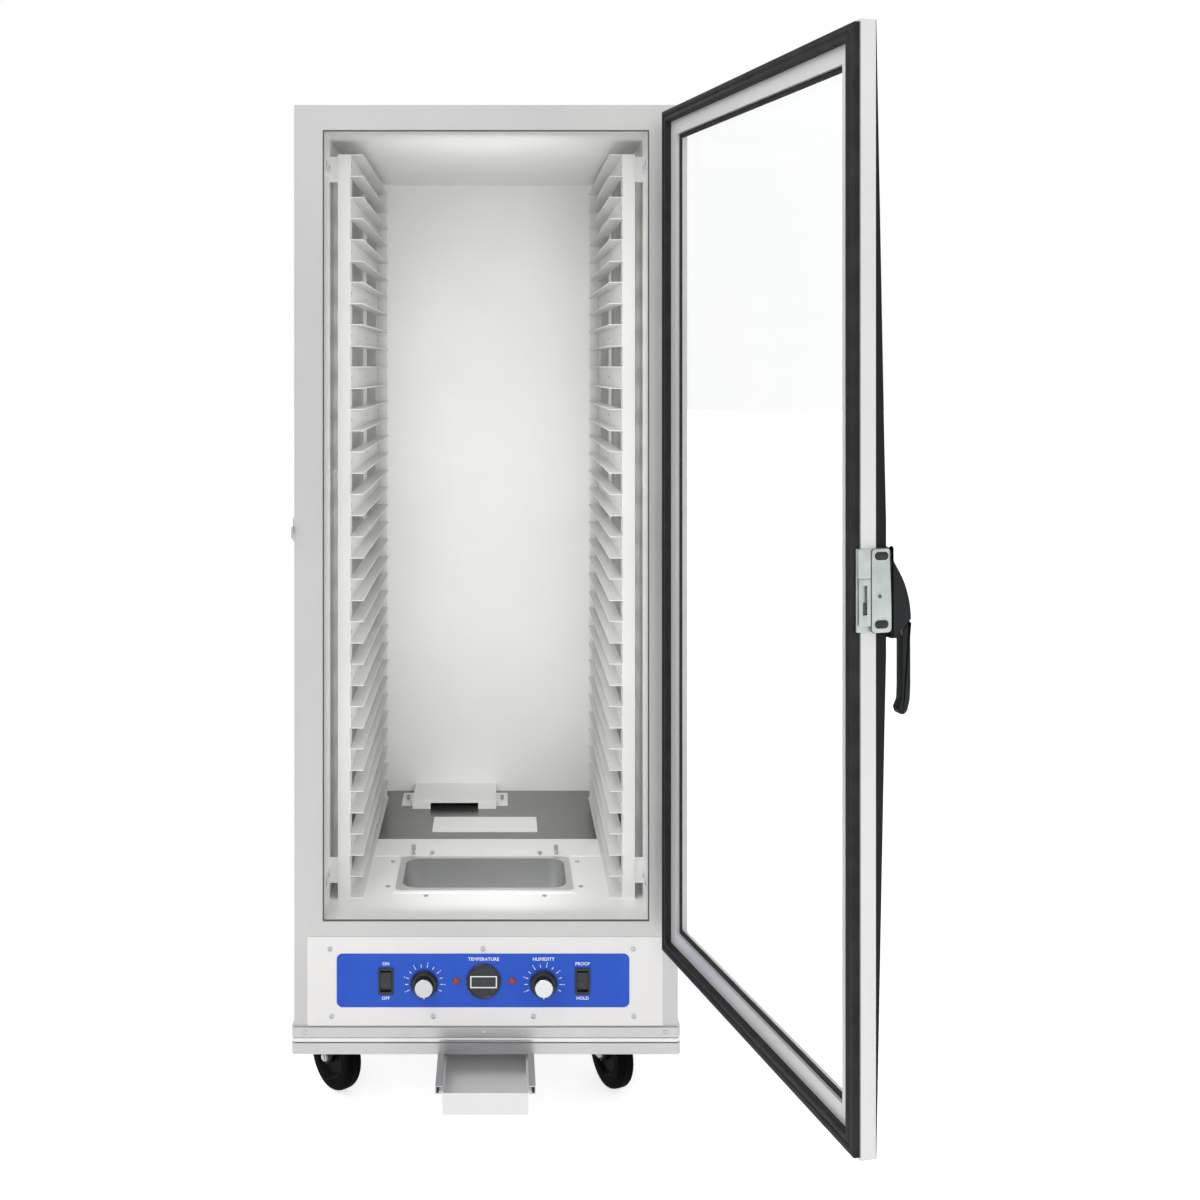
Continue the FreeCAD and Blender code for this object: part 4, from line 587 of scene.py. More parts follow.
screws = bmesh.new()
for index, (x, z) in enumerate(PLATE_SCREWS):
    put(screws, pan_head(0.0045, 0.0022), on_front(x, PLATE_FACE, z, 0.3 * index))
for index, (x, z) in enumerate(BAND_SCREWS):
    put(screws, pan_head(0.0042, 0.002), on_front(x, BAND_FACE, z, 0.5 * index))
for index, (x, y) in enumerate(FLOOR_SCREWS):
    turn = Matrix.Rotation(0.4 * index, 4, "Z")
    put(screws, pan_head(0.0045, 0.002), Matrix.Translation((x, y, FLOOR)) @ turn)
for x, y in SHORT_CLIPS:
    put(screws, thumb_screw(THUMB_RADIUS, 0.0063), Matrix.Translation((x, y, FLOOR)))
for x, y in TALL_CLIPS:
    put(screws, thumb_screw(THUMB_RADIUS, 0.019), Matrix.Translation((x, y, FLOOR)))
for x, y in COVER_SCREWS:
    put(screws, thumb_screw(THUMB_RADIUS, 0.0095), Matrix.Translation((x, y, COVER_TOP)))
piece("screw_heads", screws, zinc_plate, "cabinet", ["panel_screws"])

# %% [markdown]
# ## Rivets and bracket screws
# Each pan slide is riveted to its upright. A rivet head is one small dome, spun
# in twelve steps, because there are over a hundred of them and each is only a few
# millimetres wide. The bracket strips on the walls are held by two screws each.

# %% Rivets on the rack slides
SLIDE_PITCH = 0.0762
SLIDE_COUNT = 18
RIVET_RISE, WEB_FACE = 0.02, 0.2437
RIVET_DEPTHS = (0.117, 0.407, 0.688)
RIVET = [(0, 0), (0.0026, 0), (0.0022, 0.0009), (0.0012, 0.0014), (0, 0.0015)]
for side, name in ((-1, "rack_left"), (1, "rack_right")):
    rivets = bmesh.new()
    inward = Matrix.Rotation(-side * math.pi / 2, 4, "Y")
    for level in range(SLIDE_COUNT):
        z = FLOOR + SLIDE_PITCH * level + RIVET_RISE
        for depth in RIVET_DEPTHS:
            spot = Matrix.Translation((side * WEB_FACE, FRONT + depth, z)) @ inward
            put(rivets, spun(RIVET, 12), spot)
    piece(name + "_rivets", rivets, zinc_plate, name)

# %% Screws on the wall brackets
LINER_FACE = 0.2795
BRACKET_HEIGHTS, BRACKET_DEPTHS = (1.535, 0.277), (0.04, 0.08)
bracket_screws = bmesh.new()
for side in (-1, 1):
    inward = Matrix.Rotation(-side * math.pi / 2, 4, "Y")
    for z in BRACKET_HEIGHTS:
        for depth in BRACKET_DEPTHS:
            spot = Matrix.Translation((side * LINER_FACE, FRONT + depth, z)) @ inward
            put(bracket_screws, pan_head(0.0038, 0.0018), spot)
piece("bracket_screws", bracket_screws, zinc_plate, "cabinet")

# %% [markdown]
# ## The printed control film
# The film carries dial ticks and plain words in white ink. Printing is a fifth of a
# millimetre thick at most, so the ticks are thin raised plates, and the words are
# a font curve that becomes a mesh before it is put in place.

# %% Dial ticks
FILM_FACE = PLATE_FACE - 0.0008
INK = 0.0002
KNOBS = {"knob_left": -0.106, "knob_right": 0.099}
KNOB_Z = 0.121
TICKS = 12
FIRST_TICK, SWEEP = 204, 228
TICK_RADIUS, DOT_RADIUS = 0.0302, 0.0355
DOT = [(0, 0), (0.0009, 0), (0.0009, INK), (0, INK)]

marks = bmesh.new()
for x in KNOBS.values():
    for step in range(TICKS):
        turn = math.radians(FIRST_TICK - SWEEP * step / (TICKS - 1))
        spot = on_front(x, FILM_FACE, KNOB_Z, turn)
        outwards = Matrix.Translation((TICK_RADIUS, 0, 0))
        put(marks, plate(oblong(0.0052, 0.0012), INK), spot @ outwards)
        if step % 2 == 0:
            put(marks, spun(DOT, 10), spot @ Matrix.Translation((DOT_RADIUS, 0, 0)))
piece("dial_marks", marks, ink_white, "cabinet")


# %% Plain words
def words(name, text, x, z, size):
    """A centred line of capitals, made a mesh and stood on the film."""
    curve = bpy.data.curves.new(name, "FONT")
    curve.body = text
    curve.size = size
    curve.align_x = "CENTER"
    curve.align_y = "CENTER"
    curve.extrude = INK / 2
    curve.offset = size * 0.02
    curve.space_character = 1.05
    holder = bpy.data.objects.new(name + "_line", curve)
    scene.collection.objects.link(holder)
    bpy.context.view_layer.update()
    finished = holder.evaluated_get(bpy.context.evaluated_depsgraph_get())
    mesh = bmesh.new()
    mesh.from_mesh(bpy.data.meshes.new_from_object(finished))
    bpy.data.objects.remove(holder)
    bmesh.ops.remove_doubles(mesh, verts=mesh.verts, dist=SAME_PLACE)
    bmesh.ops.recalc_face_normals(mesh, faces=mesh.faces)
    spot = on_front(x, FILM_FACE - INK / 2, z)
    piece(name, mesh, ink_white, "cabinet", matrix=spot)


LEFT_SWITCH, METER_X, RIGHT_SWITCH = -0.172, -0.004, 0.166
SWITCH_HIGH, SWITCH_LOW, TITLE = 0.1545, 0.0955, 0.1625
SWITCH_SIZE, TITLE_SIZE = 0.0075, 0.0078
WORDS = [
    ("ON", LEFT_SWITCH, SWITCH_HIGH, SWITCH_SIZE),
    ("OFF", LEFT_SWITCH, SWITCH_LOW, SWITCH_SIZE),
    ("TEMPERATURE", METER_X, TITLE, TITLE_SIZE),
    ("HUMIDITY", KNOBS["knob_right"], TITLE, TITLE_SIZE),
    ("PROOF", RIGHT_SWITCH, SWITCH_HIGH, SWITCH_SIZE),
    ("HOLD", RIGHT_SWITCH, SWITCH_LOW, SWITCH_SIZE),
]
for text, x, z, size in WORDS:
    words("word_" + text.lower(), text, x, z, size)

# %% [markdown]
# ## Knobs
# Each knob is a phenolic skirt, a fluted barrel and a spun aluminium disc on top, with a
# white pointer. The skirt is spun. The flutes come from a circle whose points are
# moved in and out before it is extruded, which needs no cutting.


# %% A fluted barrel
def fluted(radius, height, flutes=24, depth=0.0007):
    """A drum whose side runs in and out in waves, with its top rim rounded."""
    mesh = bmesh.new()
    bmesh.ops.create_circle(mesh, cap_ends=True, segments=flutes * 4, radius=radius)
    for vert in mesh.verts:
        angle = math.atan2(vert.co.y, vert.co.x)
        vert.co *= 1 + depth / radius * math.cos(flutes * angle)
    return round_rims(raise_face(mesh, height), 0.0005, 2, top_only=True)


SKIRT = [(0, 0), (0.0228, 0), (0.0234, 0.0008), (0.0234, 0.0028), (0.0226, 0.0036)]
SKIRT += [(0.0207, 0.0096), (0.0199, 0.0102), (0.0172, 0.0104), (0, 0.0104)]
DISC = [(0, 0), (0.0152, 0), (0.0153, 0.0012), (0.0146, 0.002), (0.008, 0.0023), (0, 0.0024)]
KNOB_BASE = FILM_FACE - 0.0005
BARREL_LOW, DISC_LOW = 0.0103, 0.0203
for name, x in KNOBS.items():
    spot = on_front(x, KNOB_BASE, KNOB_Z)
    body = spun(SKIRT, 64)
    put(body, fluted(0.0158, 0.0101), Matrix.Translation((0, 0, BARREL_LOW)))
    piece(name + "_body", body, knob_black, name, matrix=spot, sharp=30)
    raised = spot @ Matrix.Translation((0, 0, DISC_LOW))
    piece(name + "_disc", spun(DISC, 64), knob_disc, name, [name], raised, 30)
    pointer = bmesh.new()
    put(pointer, plate(oblong(0.0018, 0.0053), 0.0008), Matrix.Translation((0, -0.0199, 0.0099)))
    put(pointer, plate(oblong(0.0018, 0.0038), 0.0006), Matrix.Translation((0, -0.0127, 0.0223)))
    piece(name + "_pointer", pointer, ink_white, name, matrix=spot)

# %% [markdown]
# ## Pilot lamps and the thermometer
# A pilot lamp is a red lens in its own low rim. The thermometer is a round black
# housing with a silver frame round a small dark window. It shows no reading, because
# the cabinet is off, but faint segments lie in the window as they do in a real one.

# %% Lamps
PILOT_LAMPS = (-0.051, 0.045)
CONTROL_Z = 0.125
RIM = [(0, 0), (0.0064, 0), (0.0064, 0.0012), (0.0058, 0.0019), (0.0051, 0.0019)]
RIM += [(0.005, 0.001), (0, 0.001)]
DOME = [(0, 0.0008), (0.005, 0.0008), (0.005, 0.0018)]
DOME += [(0.005 * math.cos(a), 0.0018 + 0.0021 * math.sin(a)) for a in (0.3, 0.6, 0.9, 1.2)]
DOME += [(0, 0.0039)]
rims, domes = bmesh.new(), bmesh.new()
for x in PILOT_LAMPS:
    put(rims, spun(RIM, 40), on_front(x, FILM_FACE, CONTROL_Z))
    put(domes, spun(DOME, 40), on_front(x, FILM_FACE, CONTROL_Z))
piece("lamp_rims", rims, lens_red, "cabinet")
piece("lamp_domes", domes, lens_red, "cabinet", ["pilot_lamps"])

# %% The thermometer and its window
METER = on_front(METER_X, FILM_FACE, CONTROL_Z)
WINDOW_LOW = 0.0018
HOUSING_PROFILE = [(0, 0), (0.0288, 0), (0.03, 0.0009), (0.03, 0.0024), (0.0292, 0.0031)]
HOUSING_PROFILE += [(0.0272, 0.0031), (0.0264, 0.0024), (0.0262, 0.0021), (0, 0.0021)]
piece("meter_face", spun(HOUSING_PROFILE, 72), dial_gloss, "cabinet", ["thermometer"], METER)
window = plate(oblong(0.0428, 0.0178), 0.0016, 0.0008, 3)
bmesh.ops.translate(window, verts=window.verts, vec=(0, 0, WINDOW_LOW))
piece("meter_window", window, display_grey, "cabinet", matrix=METER)

# Places are shares of a digit's width and of half its height.
DIGIT_WIDTH, HALF_DIGIT, SEGMENT_LOW = 0.0048, 0.0045, 0.00338
DIGIT_COLUMNS = (-0.011, 0.0, 0.011)
SEGMENTS = [(0, 1, True), (0, 0, True), (0, -1, True)]
SEGMENTS += [(x, y, False) for x in (-0.5, 0.5) for y in (-0.5, 0.5)]
digits = bmesh.new()
for column in DIGIT_COLUMNS:
    for x, y, flat in SEGMENTS:
        size = (0.0036, 0.0007) if flat else (0.0007, 0.0036)
        spot = Matrix.Translation((column + x * DIGIT_WIDTH, y * HALF_DIGIT, SEGMENT_LOW))
        put(digits, plate(oblong(*size), 0.00007, 0.0003, 2), METER @ spot)
piece("meter_segments", digits, segment_grey, "cabinet")

# %% [markdown]
# ## Trim on the body
# A bright rolled bead lies in the groove round the base. It is a ring cut from a
# rounded plate, with its outer edges bevelled to a half round. The white label on
# the rear floor stays blank, because the part carries no words of its own there.


# %% The bead round the base
def band_ring(width, depth, corner, thickness, height):
    """A rounded rectangular ring, from z 0 up."""
    mesh = flat_shape(oblong(width, depth), corner, 5)
    face = mesh.faces[:][0]
    bmesh.ops.inset_region(mesh, faces=[face], thickness=thickness, depth=0.0,
                           use_even_offset=True, use_boundary=True)
    bmesh.ops.delete(mesh, geom=[face], context="FACES")
    return raise_face(mesh, height)


GROOVE_WIDTH, GROOVE_DEPTH = 0.662, 0.798
BEAD_LOW, BEAD_HIGH, BEAD_OUT, BEAD_ROUND = 0.0196, 0.0284, 0.0026, 0.0024
bead = band_ring(GROOVE_WIDTH + 2 * BEAD_OUT, GROOVE_DEPTH + 2 * BEAD_OUT, 0.0075, 0.0045,
                 BEAD_HIGH - BEAD_LOW)
# The level edges that lie outside the groove's bottom, not those of the ring's hole.
outer = [
    edge for edge in bead.edges
    if abs(edge.verts[0].co.z - edge.verts[1].co.z) < SAME_PLACE
    and max(abs(edge.verts[0].co.x) - GROOVE_WIDTH / 2, abs(edge.verts[0].co.y) - GROOVE_DEPTH / 2)
    > -0.001
]
bmesh.ops.bevel(
    bead, geom=outer, offset=BEAD_ROUND, affect="EDGES", segments=4, profile=0.5, material=-1
)
piece("base_bead", bead, bright_trim, "cabinet",
      matrix=Matrix.Translation((0, 0, BEAD_LOW)))

# %% [markdown]
# A bead of grey sealant shows as a dark line where the liner meets the body's face. A
# separate strip laps over the back of the front floor, and the thumb screws hold it.

# %% The joint and the lap strip
OPENING_WIDTH, OPENING_TOP = 0.562, 1.588
JOINT_STEPS = [(0.0001, 0.003), (0.002, 0), (0.0001, -0.003)]
opening = OPENING_TOP - FLOOR
joint = framed(OPENING_WIDTH, opening, JOINT_STEPS)
piece("opening_joint", joint, sealant_and_painted_shadow, "cabinet",
      matrix=on_front(0, FRONT + 0.0035, FLOOR + opening / 2))
lap = plate(oblong(0.5, 0.098), 0.001, 0.002, 3)
piece("floor_lap", lap, aluminium_liner, "cabinet",
      matrix=Matrix.Translation((0, FRONT + 0.3725, FLOOR)))

# %% The blank label
label = plate(oblong(0.216, 0.097), 0.0003, 0.004, 4)
piece("floor_label", label, label_card, "cabinet",
      matrix=Matrix.Translation((-0.006, 0.1175, FLOOR)))

# %% [markdown]
# ## The back
# Nothing in the photograph shows the back, so it gets what such a cabinet has: pressed
# hoods over the air slots, which keep drips out, and screws round the sheet. A hood is
# a rounded plate whose top rim is bevelled almost to its middle.

# %% Louvre hoods and back screws
BACK = 0.398
SLOT_COLUMNS, SLOT_ROWS = (-0.085, 0.085), 6
LOWEST_SLOT, SLOT_PITCH, HOOD_RISE = 0.075, 0.015, 0.0022
hoods = bmesh.new()
for x in SLOT_COLUMNS:
    for row in range(SLOT_ROWS):
        hood = plate(oblong(0.126, 0.0085), 0.0034, 0.0041, 5)
        z = LOWEST_SLOT + SLOT_PITCH * row + HOOD_RISE
        put(hoods, round_rims(hood, 0.0026, 4, top_only=True),
            Matrix.Translation((x, BACK, z)) @ TO_BACK)
piece("louvre_hoods", hoods, satin_back, "cabinet")

SIDE = 0.318
BACK_SCREWS = [(x, z) for x in (-SIDE, SIDE) for z in (0.25, 0.56, 0.92, 1.28, 1.6)]
BACK_SCREWS += [(x, 0.21) for x in (-SIDE, -0.16, 0, 0.16, SIDE)]
BACK_SCREWS += [(x, 0.06) for x in (-SIDE, 0, SIDE)] + [(-0.11, 1.6), (0.11, 1.6)]
back_screws = bmesh.new()
for index, (x, z) in enumerate(BACK_SCREWS):
    turn = Matrix.Rotation(0.7 * index, 4, "Z")
    put(back_screws, pan_head(0.0042, 0.002), Matrix.Translation((x, BACK, z)) @ TO_BACK @ turn)
piece("back_screws", back_screws, zinc_plate, "cabinet")

# %% [markdown]
# ## The door gasket
# The seal is an extruded rubber ring with a soft double crown, mitred at its corners. A
# frame that grows inwards step by step from its outer edge has the same mitres,
# so its cross-section is only a list of small moves.

# %% The ribbed gasket
DOOR_LEFT, DOOR_RIGHT, DOOR_LOW, DOOR_HIGH = -0.659, -0.008, 0.2015, 1.6105
GASKET_INSET = 0.003
GASKET_STEPS = [(0.0001, 0.0072), (0.0009, 0.0018), (0.0024, 0.0008), (0.0026, 0.0002)]
GASKET_STEPS += [(0.0022, -0.0006), (0.0014, -0.0014), (0.0014, -0.0004), (0.0014, 0.001)]
GASKET_STEPS += [(0.0022, 0.0014), (0.0032, 0), (0.0018, -0.0012), (0.0002, -0.0036)]
GASKET_STEPS += [(0.0001, -0.0052)]
width = DOOR_RIGHT - DOOR_LEFT - 2 * GASKET_INSET
height = DOOR_HIGH - DOOR_LOW - 2 * GASKET_INSET
gasket = framed(width, height, GASKET_STEPS)
DOOR_INSIDE = 0.0337
middle = ((DOOR_LEFT + DOOR_RIGHT) / 2, DOOR_INSIDE, (DOOR_LOW + DOOR_HIGH) / 2)
inwards = Matrix.Translation(middle) @ TO_BACK
piece("ribbed_gasket", gasket, rubber_seal, "door", ["door_gasket"], TO_DOOR @ inwards, 50)

# %% [markdown]
# ## The handle
# The grip and its housing are moulded from their side views. Points of the side view
# are taken in units of the latch height, its corners are rounded as a flat face,
# and after extrusion the rims are rounded too, which is what a mould needs to let go.

# %% The grip
LATCH_Z = 0.904
UNIT = 0.108
HANDLE_LEFT = -0.6696


def moulded(points, width, corner, crown):
    """A bar from its side view in latch units, with rounded corners and rims."""
    outline = [(y * UNIT, LATCH_Z + z * UNIT) for y, z in points]
    return round_rims(plate(outline, width, corner, 4), crown, 4)


GRIP = [(-0.271, -0.337), (-0.2805, -0.546), (-0.2825, -0.8), (-0.2825, -1.102), (-0.274, -1.25)]
GRIP += [(-0.2435, -1.375), (-0.2, -1.421), (-0.15, -1.415), (-0.126, -1.345)]
GRIP += [(-0.1695, -1.2545), (-0.175, -1.1), (-0.175, -0.7), (-0.175, -0.437), (-0.228, -0.389)]
spot = TO_DOOR @ Matrix.Translation((HANDLE_LEFT + 0.0015, 0, 0)) @ SIDE_VIEW
piece("moulded_grip", moulded(GRIP, 0.018, 0.0018, 0.0032), nylon_grip, "handle",
      ["handle_lever"], spot, 30)

# %% The housing and its foot
HOUSING = [(-0.014, 0.503), (-0.019, 0.47), (-0.052, 0.36), (-0.089, 0.292), (-0.131, 0.222)]
HOUSING += [(-0.172, 0.145), (-0.204, 0.072), (-0.228, 0.0), (-0.246, -0.065), (-0.26, -0.13)]
HOUSING += [(-0.27, -0.198), (-0.277, -0.27), (-0.279, -0.325), (-0.228, -0.376)]
HOUSING += [(-0.167, -0.4315), (-0.135, -0.455), (-0.111, -0.49), (-0.095, -0.537), (-0.024, -0.537)]
HOUSING += [(-0.024, 0.495)]
spot = TO_DOOR @ Matrix.Translation((HANDLE_LEFT, 0, 0)) @ SIDE_VIEW
piece("moulded_housing", moulded(HOUSING, 0.021, 0.0006, 0.0024), nylon_grip, "door",
      ["handle_housing"], spot, 30)
foot = plate([(-0.6583, 0.846), (-0.6486, 0.846), (-0.6486, 0.9585), (-0.6583, 0.9585)], 0.0017)
spot = TO_DOOR @ Matrix.Translation((0, -0.001, 0)) @ TO_FRONT
piece("housing_foot", foot, nylon_grip, "door", matrix=spot)

# %% [markdown]
# ## Details of the latch
# The latch is pressed from zinc-plated sheet: a cheek against the door, blocks above
# and below the space that the hook moves in, and a cover with rounded corners. A
# painted shadow line runs round the cover: a thin dark sheet, a little larger, stands
# behind it where there is only shade. Beside it, four strips leave a slot in a lip.
# Each sheet is a side view raised to its thickness: its ends in y, its ends in z, where
# it starts in x, and its thickness.


# %% Cheek, blocks, lip and cover
def pressing(y0, y1, z0, z1, x, thickness, corner=0.0008, rim=0.0003):
    """A sheet of the latch from its side view, with rounded corners and rims."""
    sheet = plate([(y0, z0), (y1, z0), (y1, z1), (y0, z1)], thickness, corner, 6)
    round_rims(sheet, rim, 2)
    return sheet, Matrix.Translation((x, 0, 0)) @ SIDE_VIEW


PRESSINGS = [
    (-0.0023, 0.041, 0.854, 0.957, -0.6624, 0.0034),
    (-0.0018, 0.0249, 0.944, 0.9565, -0.6668, 0.0046),
    (-0.0018, 0.0249, 0.8545, 0.8605, -0.6668, 0.0046),
    (0.0255, 0.041, 0.921, 0.957, -0.6684, 0.0062),
    (0.0255, 0.0302, 0.862, 0.9205, -0.6684, 0.002),
    (0.0362, 0.041, 0.862, 0.9205, -0.6684, 0.002),
    (0.0296, 0.0368, 0.862, 0.876, -0.6684, 0.002),
    (0.0296, 0.0368, 0.9125, 0.9205, -0.6684, 0.002),
]
case = bmesh.new()
for y0, y1, z0, z1, x, thickness in PRESSINGS:
    put(case, *pressing(y0, y1, z0, z1, x, thickness))
piece("latch_pressings", case, zinc_plate, "door", ["latch_case"], TO_DOOR)
cover, spot = pressing(-0.0023, 0.0244, 0.854, 0.957, HANDLE_LEFT, 0.0027, 0.0052, 0.0006)
piece("latch_cover", cover, zinc_plate, "door", matrix=TO_DOOR @ spot)
# A thin dark sheet behind the cover paints the shadow line round it.
painted_shadow_sheet, spot = pressing(-0.0023, 0.0254, 0.8534, 0.9576, HANDLE_LEFT + 0.0022, 0.001, 0.0058)
piece("latch_cover_painted_shadow", painted_shadow_sheet, sealant_and_painted_shadow, "door", matrix=TO_DOOR @ spot)

# %% [markdown]
# The cover carries two black oval plugs in bright rims, and the ring of the pivot
# pin. They are small plates and spun rings of their own, so that each keeps its finish.


# %% Plugs and pin
def on_cover(y, z):
    """A place on the latch cover that faces away from the door; local x is up."""
    turn = Matrix(((0, 0, -1, HANDLE_LEFT), (0, 1, 0, y), (1, 0, 0, z), (0, 0, 0, 1)))
    return TO_DOOR @ turn


PLUG_Y, PLUG_HEIGHTS = 0.0118, (0.8645, 0.9485)
plugs, rims = bmesh.new(), bmesh.new()
for z in PLUG_HEIGHTS:
    spot = on_cover(PLUG_Y, z)
    rim = plate(oblong(0.0128, 0.0212), 0.0007, 0.0062, 8)
    put(rims, round_rims(rim, 0.0003, 2, top_only=True), spot)
    plug = plate(oblong(0.0104, 0.0188), 0.0011, 0.0051, 8)
    put(plugs, round_rims(plug, 0.0004, 2, top_only=True), spot)
piece("latch_plug_rims", rims, zinc_plate, "door")
piece("latch_plugs", plugs, dial_gloss, "door")
PIN_SPOT = on_cover(0.014, 0.899)
PIN = [(0, 0), (0.0052, 0), (0.0052, 0.0007), (0.0042, 0.0011), (0.0034, 0.0005), (0, 0.0005)]
piece("latch_pin_ring", spun(PIN, 32), zinc_plate, "door", matrix=PIN_SPOT)
PIN_END = [(0, 0.0004), (0.0024, 0.0004), (0.0024, 0.0008), (0.0014, 0.0011), (0, 0.0011)]
piece("latch_pin_end", spun(PIN_END, 24), element_sheath, "door", matrix=PIN_SPOT)

# %% [markdown]
# ## Hinge screws and caster wheels
# A caster wheel is a soft tyre on a nylon hub, between the fork's legs. Both are
# closed rings, spun from their cross-sections, with two shallow tread grooves. A
# hexagon nut closes each end of the axle and rides on the fork.

# %% Hinge screws
LEAF_FACE = 0.333
LEAF_LOWS = (0.3115, 0.8685, 1.4255)
leaf_screws = bmesh.new()
outward = Matrix.Rotation(math.pi / 2, 4, "Y")
for low in LEAF_LOWS:
    for z in (low + 0.015, low + 0.06):
        for y in (-0.38, -0.355):
            spot = Matrix.Translation((LEAF_FACE, y, z)) @ outward
            put(leaf_screws, pan_head(0.0038, 0.0014), spot)
piece("leaf_screws", leaf_screws, zinc_plate, "cabinet")

# %% Wheels
# Each corner has its place and the heading of its trail in degrees.
CASTERS = {
    "front_left": (-0.25, -0.238, 130),
    "front_right": (0.25, -0.238, 113),
    "back_left": (-0.25, 0.238, 84),
    "back_right": (0.25, 0.238, 97),
}
TRAIL, AXLE_Z = 0.046, -0.0935
HALF_TYRE = [(0.0395, 0.0158), (0.05, 0.016), (0.0565, 0.0158), (0.0602, 0.0142), (0.0622, 0.0114)]
HALF_TYRE += [(0.0631, 0.0082), (0.0621, 0.0074), (0.0621, 0.0062), (0.0634, 0.0054)]
HALF_TYRE += [(0.0635, 0.001)]
TYRE = HALF_TYRE + [(r, -z) for r, z in reversed(HALF_TYRE)]
HALF_HUB = [(0.0061, 0.018), (0.011, 0.018), (0.0128, 0.0172), (0.0136, 0.0102), (0.019, 0.0086)]
HALF_HUB += [(0.0335, 0.0094), (0.0362, 0.0128), (0.0378, 0.0148), (0.0396, 0.0152)]
HUB = HALF_HUB + [(r, -z) for r, z in reversed(HALF_HUB)]
AXLE_END = [(0, 0.005), (0.0048, 0.005), (0.0048, 0.0075), (0.004, 0.0082), (0, 0.0082)]
LEG_FACE = 0.0226
for name, (x, y, heading) in CASTERS.items():
    fork = Matrix.Translation((x, y, 0)) @ Matrix.Rotation(math.radians(heading), 4, "Z")
    axle = fork @ Matrix.Translation((TRAIL, 0, AXLE_Z)) @ Matrix.Rotation(math.pi / 2, 4, "X")
    wheel, node = "wheel_" + name, "caster_wheel_" + name
    piece("tyre_" + name, spun(TYRE, 96, True), rubber_tyre, wheel, matrix=axle)
    piece("hub_" + name, spun(HUB, 64, True), hub_nylon, wheel, [node], axle)
    nuts = bmesh.new()
    for turn in (0, math.pi):
        face = Matrix.Rotation(turn, 4, "X") @ Matrix.Translation((0, 0, LEG_FACE))
        nut = bmesh.new()
        bmesh.ops.create_circle(nut, cap_ends=True, segments=6, radius=0.0085)
        put(nuts, round_rims(raise_face(nut, 0.0052), 0.0006, 2, True), face)
        put(nuts, spun(AXLE_END, 20), face)
    piece("axle_nuts_" + name, nuts, zinc_plate, "fork_" + name, matrix=axle)

# %% [markdown]
# ## Stage and light
# The photograph is a cut-out on white. The floor and the surround therefore look white
# to the camera, to glossy reflections and through glass, and light the object
# only with a plain level. That keeps a colour near what was written for it,
# while the floor still takes the cabinet's shadow.
#
# Four soft lamps give the sheet its shades. The key comes from above on the left. The
# fill brings the left rack forward, the front lamp reaches into the cavity, and a tall
# narrow one in the opening lifts the inner walls, which lamps outside reach too little.
# These three don't show in reflections, where they would draw hard white patches on
# the floor sheets and the pan.


# %% A white that only certain rays see
def seen_directly(tree):
    """One for camera, glossy and transmission rays, and nought for the rest."""
    path = add(tree, "LightPath")
    first = add(tree, "Math", {"operation": "MAXIMUM"},
                {0: path.outputs["Is Camera Ray"], 1: path.outputs["Is Glossy Ray"]})
    return add(tree, "Math", {"operation": "MAXIMUM"},
               {0: first.outputs[0], 1: path.outputs["Is Transmission Ray"]}).outputs[0]


# %% The floor
# Its own white adds to the light that falls on it, up to the white of the surround.
FLOOR_LIFT, FLOOR_SIZE, FLOOR_GAP = 0.64, 40, 0.0002
ground = bmesh.new()
bmesh.ops.create_grid(ground, x_segments=2, y_segments=2, size=FLOOR_SIZE)
bmesh.ops.translate(ground, verts=ground.verts, vec=(0, 0, GROUND - FLOOR_GAP))
data = bpy.data.meshes.new("ground")
ground.to_mesh(data)
ground.free()
floor_paint = bpy.data.materials.new("pale_studio_floor")
floor_paint.use_nodes = True
tree = floor_paint.node_tree
shader = tree.nodes["Principled BSDF"]
shader.inputs["Base Color"].default_value = srgb("f0f0f0")
shader.inputs["Roughness"].default_value = 0.9
shader.inputs["Emission Color"].default_value = (1, 1, 1, 1)
lift = add(tree, "Math", {"operation": "MULTIPLY", 1: FLOOR_LIFT}, {0: seen_directly(tree)})
tree.links.new(lift.outputs[0], shader.inputs["Emission Strength"])
data.materials.append(floor_paint)
ground_object = bpy.data.objects.new("ground", data)
scene.collection.objects.link(ground_object)
ground_object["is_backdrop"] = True
print("the floor lies at", GROUND)

# %% The surround
AMBIENT = 0.58
world = bpy.data.worlds.new("studio")
scene.world = world
world.use_nodes = True
tree = world.node_tree
tree.nodes.clear()
plain = add(tree, "Background", {"Color": (1, 1, 1, 1), "Strength": AMBIENT})
white = add(tree, "Background", {"Color": (1, 1, 1, 1), "Strength": 1.0})
mixed = add(tree, "MixShader", {},
            {0: seen_directly(tree), 1: plain.outputs[0], 2: white.outputs[0]})
add(tree, "OutputWorld", {}, {"Surface": mixed.outputs[0]})
print("ambient level", AMBIENT)


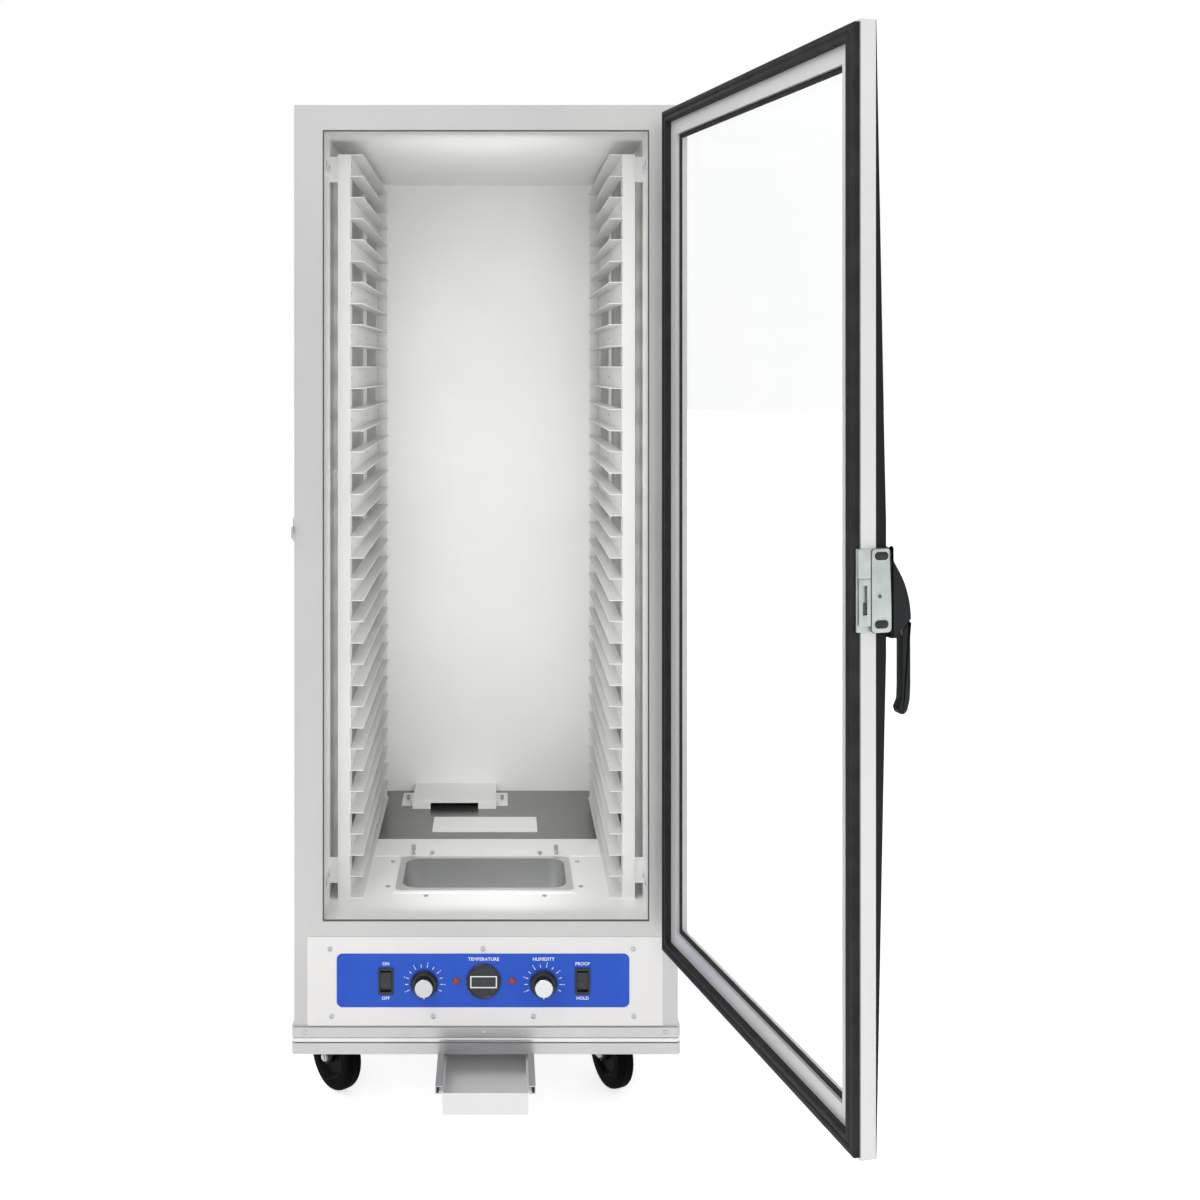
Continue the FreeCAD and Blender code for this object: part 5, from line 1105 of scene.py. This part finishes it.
# %% Soft lamps
def soft_lamp(name, place, target, width, height, watts, mirrored=True):
    """A rectangular lamp that looks at a target; reflections may leave it out."""
    data = bpy.data.lights.new(name, "AREA")
    data.shape = "RECTANGLE"
    data.size = width
    data.size_y = height
    data.energy = watts
    made = bpy.data.objects.new(name, data)
    made.location = place
    made.rotation_euler = (Vector(target) - Vector(place)).to_track_quat("-Z", "Y").to_euler()
    made.visible_glossy = mirrored
    scene.collection.objects.link(made)


soft_lamp("key", (-1.5, -2.6, 4.2), (0, -0.3, 0.7), 2.4, 2.4, 50)
soft_lamp("fill", (0.75, -3.05, 1.3), (-0.25, 0, 0.8), 0.7, 1.6, 8, mirrored=False)
soft_lamp("front", (-0.4, -6.0, 2.9), (0, 0, 0.7), 2.4, 2.4, 58, mirrored=False)
soft_lamp("inside", (0, -0.36, 0.9), (0, 0, 0.9), 0.3, 1.25, 2.6, mirrored=False)

# %% [markdown]
# ## Camera
# The photograph was taken square to the front from 2.4 m away, 1.18 m above the
# chassis, and is framed off centre. The shift moves the frame instead of turning the
# camera, so uprights stay upright. The focal length and the vanishing point are in
# pixels of the photograph.

# %% The photograph's view
PHOTO_WIDTH = 1200
FOCAL_PIXELS = 1415
VANISH_X, VANISH_Y = 497, 366
CAMERA_PLACE = (0.019, -2.832, 1.182)
SENSOR = 36
camera_data = bpy.data.cameras.new("camera")
camera_data.sensor_width = SENSOR
camera_data.lens = FOCAL_PIXELS * SENSOR / PHOTO_WIDTH
camera_data.shift_x = (PHOTO_WIDTH / 2 - VANISH_X) / PHOTO_WIDTH
camera_data.shift_y = (VANISH_Y - PHOTO_WIDTH / 2) / PHOTO_WIDTH
camera_data.clip_end = 200
camera = bpy.data.objects.new("camera", camera_data)
camera.location = CAMERA_PLACE
camera.rotation_euler = (math.pi / 2, 0, 0)
scene.collection.objects.link(camera)
scene.camera = camera
scene.view_settings.view_transform = "Standard"
print("lens", round(camera_data.lens, 2), "mm")

# %% The box round all that renders
low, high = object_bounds()
